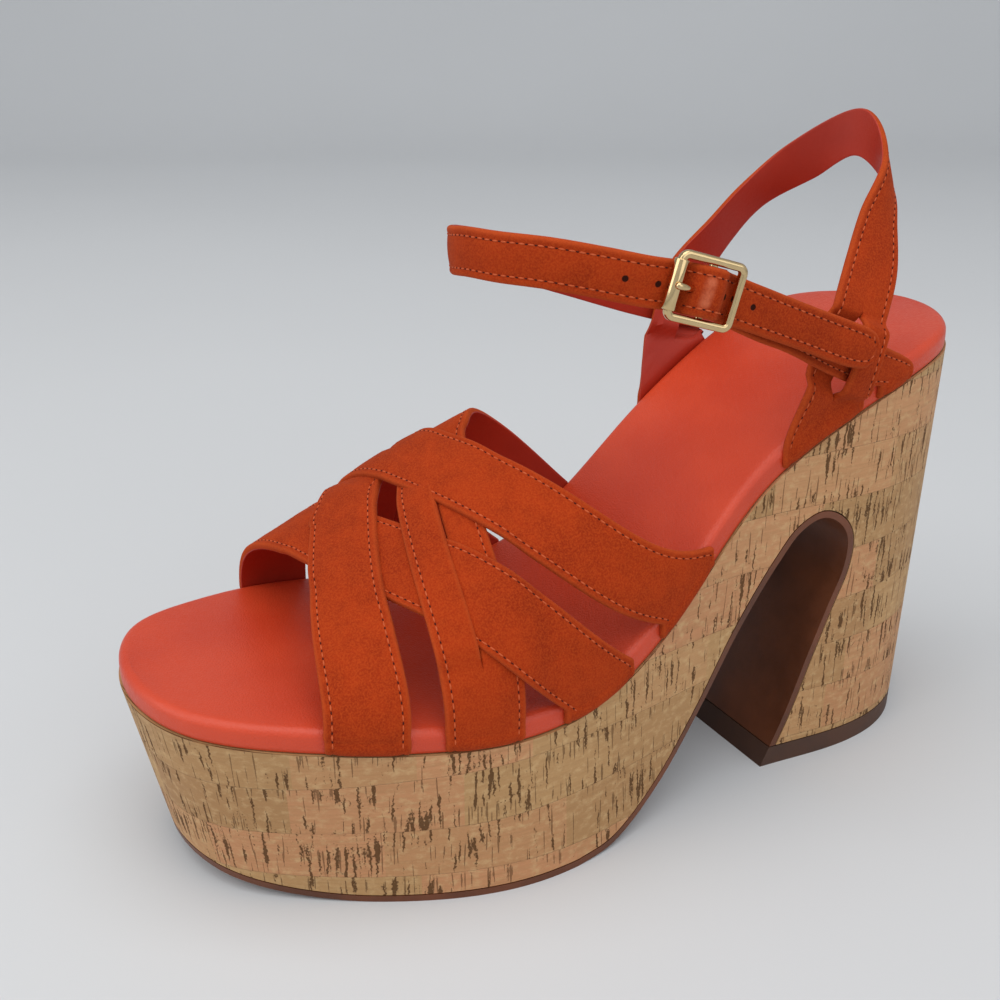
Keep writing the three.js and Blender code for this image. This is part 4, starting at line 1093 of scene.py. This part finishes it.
def makeAnkleStrap(looks):
    grid = bandGrid(ankleBand(), columnShares(ankle['width']), ankleTuck(-1), None, ankle['spacing'])
    local = toBuckle(grid)
    near = (np.abs(local[..., 2]) < 2 * strapDrop) & (np.abs(local[..., 1]) < ankle['width'])
    bump = buckle['bar'] / 2 + gap + buckle['loop'] + gap + (strapDrop - buckle['frameHeight'])
    away = local[..., 0] - buckle['barOffset']
    far = np.abs(away)
    half, barHalf = buckle['length'] / 2, buckle['bar'] / 2
    frontReach = half - buckle['roller'] * ankle['rollerReach'] + buckle['barOffset']
    rearReach = half - buckle['wire'] - buckle['barOffset']
    rear = 1 - smoothStep(barHalf, rearReach, far)
    ridge = 1 - smoothStep(barHalf, frontReach * ankle['ridgeReach'], far)
    shoulder = 1 - smoothStep(frontReach * ankle['shoulderStart'], frontReach, far)
    front = mix(shoulder, ridge, buckle['ridgeShare'])
    lift = np.where(near, bump * np.where(away > 0, rear, front), 0)
    part = strapShell(grid, ankle['thickness'], lift, ankle['creases'])
    one, other = seamPair([part], ankle['seamSkip'])
    tip = [mix(one[-1], other[-1], share) for share in (0.33, 0.67)]
    makeStrap('ankle', 'ankle_strap', [part], [np.concatenate([one, tip, other[::-1]])], looks)


def makeBuckleStrap(looks):
    under = buckle['frameHeight'] - strapDrop - gap
    start = fromBuckle([[buckle['loopStart'] * buckle['length'], 0, under - ankle['thickness']]])[0]
    centres = [start] + [anklePoint(row) for row in buckleStrapRows]
    leans = [0] + [row['lean'] for row in buckleStrapRows]
    rows = bandRows(centres, [ankle['width']] * len(centres), leans)
    shares = columnShares(ankle['width'])
    grid = bandGrid(rows, shares, None, ankleTuck(1))
    part = strapShell(grid, ankle['thickness'], np.zeros(grid.shape[:2]))
    # The loop round the bar, from the strap's start over the bar and back
    inside = buckle['bar'] / 2 + gap
    turns = np.radians(np.linspace(*buckle['loopTurns'], buckle['loopSteps']))
    middleLine = [(buckle['barOffset'] + inside * math.cos(t), inside * math.sin(t)) for t in turns]
    middleLine.append((buckle['loopEnd'] * buckle['length'], under))
    loop = np.array([[[x, share * ankle['width'], z] for share in shares] for x, z in middleLine])
    loop = fromBuckle(loop[::-1])
    cover = strapShell(loop, buckle['loop'], np.zeros(loop.shape[:2]))
    lines = seamPair([part], buckle['seamSkip'])
    makeStrap('buckleStrap', 'buckle_strap', [part, cover], lines, looks)


def nearness(points, route):
    flat = points.reshape(-1, 3)
    nearest = np.full(len(flat), np.inf)
    for a, b in zip(route[:-1], route[1:]):
        share = np.clip((flat - a) @ (b - a) / np.dot(b - a, b - a), 0, 1)
        nearest = np.minimum(nearest, np.linalg.norm(flat - (a + share[:, None] * (b - a)), axis=1))
    return nearest.reshape(points.shape[:2])


def makeBackStrap(looks):
    *legs, top = backRows
    order = [(row, 'medial') for row in legs] + [(row, 'lateral') for row in (top, *reversed(legs))]
    centres = [np.array([row[side] * ankle['halfWidth'], float(yAt(row['along'])),
                         row['up'] * back['height']]) for row, side in order]
    widths = [row['width'] * back['width'] for row, _ in order]
    rows = bandRows(centres, widths, [row['lean'] for row, _ in order])
    tucks = {side: (side, tuck['along'], tuck['width'] * back['width'], tuck['rise'])
             for side, tuck in backTucks.items()}
    shares = columnShares(back['width'], 0.5 + back['slitShare'])
    grid = bandGrid(rows, shares, tucks[-1], tucks[1], back['spacing'])
    # The slits part where the ankle strap's ends cross
    ankleEnd = {side: tuckPoints(side, np.array([ankle['tuckAlong']]))[3][0] for side in (1, -1)}
    lateral = nearness(grid, [anklePoint(row) for row in buckleStrapRows] + [ankleEnd[1]])
    medial = nearness(grid, [ankleEnd[-1]] + [anklePoint(row) for row in ankleRows[:4]])
    near = np.where(grid[..., 0] > 0, lateral, medial)
    above = grid[..., 2] - footbed(grid[..., 1])
    layer = ankle['thickness'] + back['slitGaps'] * gap
    reach = ankle['width'] / 2 + back['slitReachGaps'] * gap
    ramp = ankle['width'] * back['slitRamp']
    spread = layer * (1 - smoothStep(reach, reach + ramp, near))
    inward = -spread * smoothStep(gap, ramp, above)
    outward = spread * smoothStep(-insole['thickness'] / 2, 0, above)
    middle = int(np.argmin(np.abs(shares - back['slitShare'])))
    parts = slitShells(grid, ankle['thickness'], inward, outward, middle, back['creases'])
    makeStrap('back', 'back_strap', parts, seamPair(parts, back['seamSkip']), looks)


# Metal
def sweep(path, section, closed):
    path = np.asarray(path, float)
    count = len(path)
    if closed:
        ahead = np.roll(path, -1, 0) - np.roll(path, 1, 0)
    else:
        ahead = np.gradient(path, axis=0)
    ahead = unit(ahead)
    side = np.array([0.0, 0.0, 1.0]) if closed else np.array([0.0, 1.0, 0.0])
    outward = unit(np.cross(ahead, side))
    rings = path[:, None] + outward[:, None] * section[None, :, 0, None] + side * section[None, :, 1, None]
    size = len(section)
    faces = tubeFaces(count, size, closed)
    if not closed:
        faces += [tuple(reversed(range(size))), tuple(range((count - 1) * size, count * size))]
    return rings.reshape(-1, 3), faces


def superSection(width, height, power, count=20):
    turn = np.linspace(0, 2 * np.pi, count, endpoint=False)
    c, s = np.cos(turn), np.sin(turn)
    return np.column_stack([width / 2 * np.sign(c) * np.abs(c) ** (2 / power),
                            height / 2 * np.sign(s) * np.abs(s) ** (2 / power)])


def roundedPath(length, width, radius, steps=10):
    corners = [(1, 1, 0), (-1, 1, 90), (-1, -1, 180), (1, -1, 270)]
    points = []
    for sx, sy, start in corners:
        for turn in np.radians(np.linspace(start, start + 90, steps)):
            points.append((sx * (length / 2 - radius) + radius * math.cos(turn),
                           sy * (width / 2 - radius) + radius * math.sin(turn), 0))
    return np.array(points)


def lathe(profile, x, z, sides=32):
    turn = np.linspace(0, 2 * np.pi, sides, endpoint=False)
    rings = [np.column_stack([x + r * np.cos(turn), np.full(sides, y), z + r * np.sin(turn)])
             for y, r in profile]
    return np.concatenate(rings), tubeFaces(len(profile), sides, True)


def together(pieces):
    points = []
    faces = []
    for piecePoints, pieceFaces in pieces:
        start = sum(len(other) for other in points)
        points.append(piecePoints)
        faces += [tuple(start + i for i in face) for face in pieceFaces]
    return np.concatenate(points), faces


def makeMetal(name, node, shape, gold):
    points, faces = shape
    made = newObject(name, fromBuckle(points), faces, [gold])
    work = bmesh.new()
    work.from_mesh(made.data)
    bmesh.ops.recalc_face_normals(work, faces=work.faces)
    work.to_mesh(made.data)
    work.free()
    finishShading(made.data)
    settle(made, 'gold', node)


def makeFrame(width, gold):
    wire, height, barHalf = buckle['wire'], buckle['frameHeight'], buckle['bar'] / 2
    radius = buckle['cornerRadius'] - wire / 2 + 0.3
    rim = roundedPath(buckle['length'] - wire, width - wire, radius)
    rim[:, 2] = height
    sideY = width / 2 - wire / 2
    profile = [(-sideY, 0.01), (-sideY, barHalf), (sideY, barHalf), (sideY, 0.01)]
    pieces = [sweep(rim, superSection(wire, wire, 3), True), lathe(profile, buckle['barOffset'], 0)]
    # A lug on each side stands from the bar up to the rim
    for side in (-1, 1):
        path = [(buckle['barOffset'], side * sideY, z) for z in np.linspace(-barHalf + 0.1, height, 6)]
        pieces.append(sweep(path, superSection(buckle['bar'], wire * 0.6, 4, 12), False))
    makeMetal('buckleFrameGold', 'buckle_frame', together(pieces), gold)


def makeRoller(width, rollerX, gold):
    half = (width - 2 * buckle['wire']) / 2 - gap
    r = buckle['roller'] / 2
    inside, edge = r - buckle['rollerWall'], buckle['rollerEdge']
    profile = [(-half, inside), (-half, r - edge), (-half + edge * 0.3, r - edge * 0.3),
               (-half + edge, r), (half - edge, r), (half - edge * 0.3, r - edge * 0.3),
               (half, r - edge), (half, inside)]
    makeMetal('rollerGold', 'buckle_roller', lathe(profile, rollerX, buckle['frameHeight'], 48), gold)


def makeProng(rollerX, gold):
    barOffset, roller, tube = buckle['barOffset'], buckle['roller'], buckle['prong'] / 2
    eyeInside = buckle['bar'] / 2 + gap
    tipHeight = buckle['frameHeight'] + roller / 2 + gap + tube
    tipX = -buckle['length'] / 2 - buckle['prongPast']
    knots = np.array([
        (barOffset - eyeInside * 0.6, 0, eyeInside + 0.2),
        (barOffset * 0.4 + rollerX * 0.3, 0, tipHeight * 0.4),
        (rollerX + roller * 1.1, 0, tipHeight * 0.6),
        (rollerX + roller * 0.55, 0, tipHeight * 0.88),
        (rollerX, 0, tipHeight), (tipX, 0, tipHeight - 0.1),
    ])
    steps, count = 40, 16
    path = alongCurve(knots, np.linspace(0, 1, steps))
    section = superSection(buckle['prong'], buckle['prong'], 2, count)
    pinPoints, pinFaces = sweep(path, section, False)
    # The tip is rounded
    beforeTip = np.linalg.norm(path - path[-1], axis=1) / buckle['tipRound']
    shrink = np.sqrt(np.clip(1 - (1 - beforeTip) ** 2, 0.02, 1))
    shrink = np.where(beforeTip > 1, 1, shrink)
    middle = path[:, None]
    pin = middle + (pinPoints.reshape(steps, count, 3) - middle) * shrink[:, None, None]
    profile = ((-1, 0.05), (-1, 0.7), (-0.6, 0.9), (0.6, 0.9), (1, 0.7), (1, 0.05))
    eye = lathe([(y * tube, eyeInside + r) for y, r in profile], barOffset, 0)
    makeMetal('prongGold', 'buckle_prong', together([(pin.reshape(-1, 3), pinFaces), eye]), gold)


def makeBuckle(gold):
    width = ankle['width'] + 2 * (buckle['wire'] + gap)
    rollerX = -buckle['length'] / 2 + buckle['wire'] / 2
    makeFrame(width, gold)
    makeRoller(width, rollerX, gold)
    makeProng(rollerX, gold)


stage = {'bend': 1.3, 'radius': 0.8, 'reach': 6, 'halfSize': 8}


def makeStage():
    shader = Shader('paleFloor', Roughness=0.75, Specular_IOR_Level=0.2)
    faint = shader.noise(shader.objectPlace(), 3.0, 2.0)
    shader.use('Base Color', shader.blend(faint, (0.60, 0.61, 0.62, 1), (0.63, 0.64, 0.65, 1)))
    # The floor bends up into a wall behind the sandal
    turns = np.radians(np.linspace(0, 90, 13))
    start, radius, reach, halfSize = (stage[key] for key in ('bend', 'radius', 'reach', 'halfSize'))
    profile = [(-reach, 0), (start, 0)]
    profile += [(start + radius * math.sin(t), radius - radius * math.cos(t)) for t in turns[1:]]
    profile.append((start + radius, reach))
    turn = math.radians(camera['azimuth'])
    right = Vector((math.cos(turn), math.sin(turn), 0))
    ahead = Vector((-math.sin(turn), math.cos(turn), 0))
    points = [tuple(ahead * forward + right * across + Vector((0, 0, height)))
              for forward, height in profile for across in (-halfSize, halfSize)]
    faces = [(2 * i, 2 * i + 1, 2 * i + 3, 2 * i + 2) for i in range(len(profile) - 1)]
    mesh = bpy.data.meshes.new('floor')
    mesh.from_pydata(points, [], faces)
    mesh.materials.append(shader.material)
    mesh.shade_smooth()
    placed('floor', mesh)


camera = {
    'azimuth': 61.35, 'elevation': 22.92, 'roll': -0.23, 'distance': 0.36295, 'lens': 42.98,
    'target': (-0.06038, 0.01446, 0.04756),
}


def makeCamera():
    a, e, roll = (math.radians(camera[key]) for key in ('azimuth', 'elevation', 'roll'))
    backward = Vector((math.sin(a) * math.cos(e), -math.cos(a) * math.cos(e), math.sin(e)))
    right = Vector((math.cos(a), math.sin(a), 0))
    up = backward.cross(right)
    turnedRight = right * math.cos(roll) + up * math.sin(roll)
    turnedUp = up * math.cos(roll) - right * math.sin(roll)
    data = bpy.data.cameras.new('camera')
    data.lens = camera['lens']
    data.sensor_width = 36
    data.clip_start = 0.01
    made = placed('camera', data)
    basis = Matrix((turnedRight, turnedUp, backward)).transposed().to_4x4()
    made.matrix_world = Matrix.Translation(Vector(camera['target']) + backward * camera['distance']) @ basis
    bpy.context.scene.camera = made


lights = [
    {'name': 'overhead', 'place': (0.25, -0.2, 1.3), 'size': 1.4, 'power': 10, 'tone': (1, 0.98, 0.96)},
    {'name': 'frontWindow', 'place': (-0.2, -1.3, 0.8), 'size': 1.1, 'power': 6, 'tone': (1, 0.99, 0.97)},
    {'name': 'sideFill', 'place': (1.4, 0.3, 0.7), 'size': 1.2, 'power': 4, 'tone': (0.96, 0.98, 1)},
]


def makeLights():
    for light in lights:
        data = bpy.data.lights.new(light['name'], 'AREA')
        data.shape = 'SQUARE'
        data.size = light['size']
        data.energy = light['power']
        data.color = light['tone']
        made = placed(light['name'], data)
        made.location = light['place']
        aim = Vector((0, 0, 0.06)) - Vector(light['place'])
        made.rotation_euler = aim.to_track_quat('-Z', 'Y').to_euler()
    world = bpy.data.worlds.new('studio')
    world.use_nodes = True
    background = world.node_tree.nodes['Background']
    background.inputs['Color'].default_value = (0.93, 0.96, 1.0, 1)
    background.inputs['Strength'].default_value = 0.62
    bpy.context.scene.world = world
    bpy.context.scene.view_settings.view_transform = 'Standard'


corkMaterial = makeCork()
suedeMaterial = makeSuede('suede')
punchedSuede = makeSuede('punchedSuede', punched)
liningMaterial = makeLining()
insoleMaterial = makeInsoleLeather()
soleMaterial = makeSoleLeather('brownSole', colour(84, 43, 21), colour(112, 60, 32), 0.42)
topPieceMaterial = makeSoleLeather('brownRubber', colour(62, 38, 26), colour(80, 50, 34), 0.6)
goldMaterial = makeGold()
threadMaterial = makePlain('thread', colour(176, 68, 26), colour(206, 98, 52), 0.7, 900.0)
# The needle holes' dark colour is painted shade
holeShadeMaterial = makePlain('needleHoleShade', colour(58, 12, 5), colour(84, 20, 8), 0.9, 900.0)
print('materials made')

makeCamera()
makeLights()
makeStage()
makeSole(corkMaterial, soleMaterial, topPieceMaterial)
print('sole made')
makeInsole(insoleMaterial)
looks = {
    'suede': suedeMaterial, 'lining': liningMaterial,
    'stitching': stitchGroup(threadMaterial, holeShadeMaterial),
}
makeVamp(looks)
print('vamp made')
makeAnkleStrap({**looks, 'suede': punchedSuede})
makeBuckleStrap(looks)
makeBackStrap(looks)
print('ankle straps made')
makeBuckle(goldMaterial)
print('buckle made')
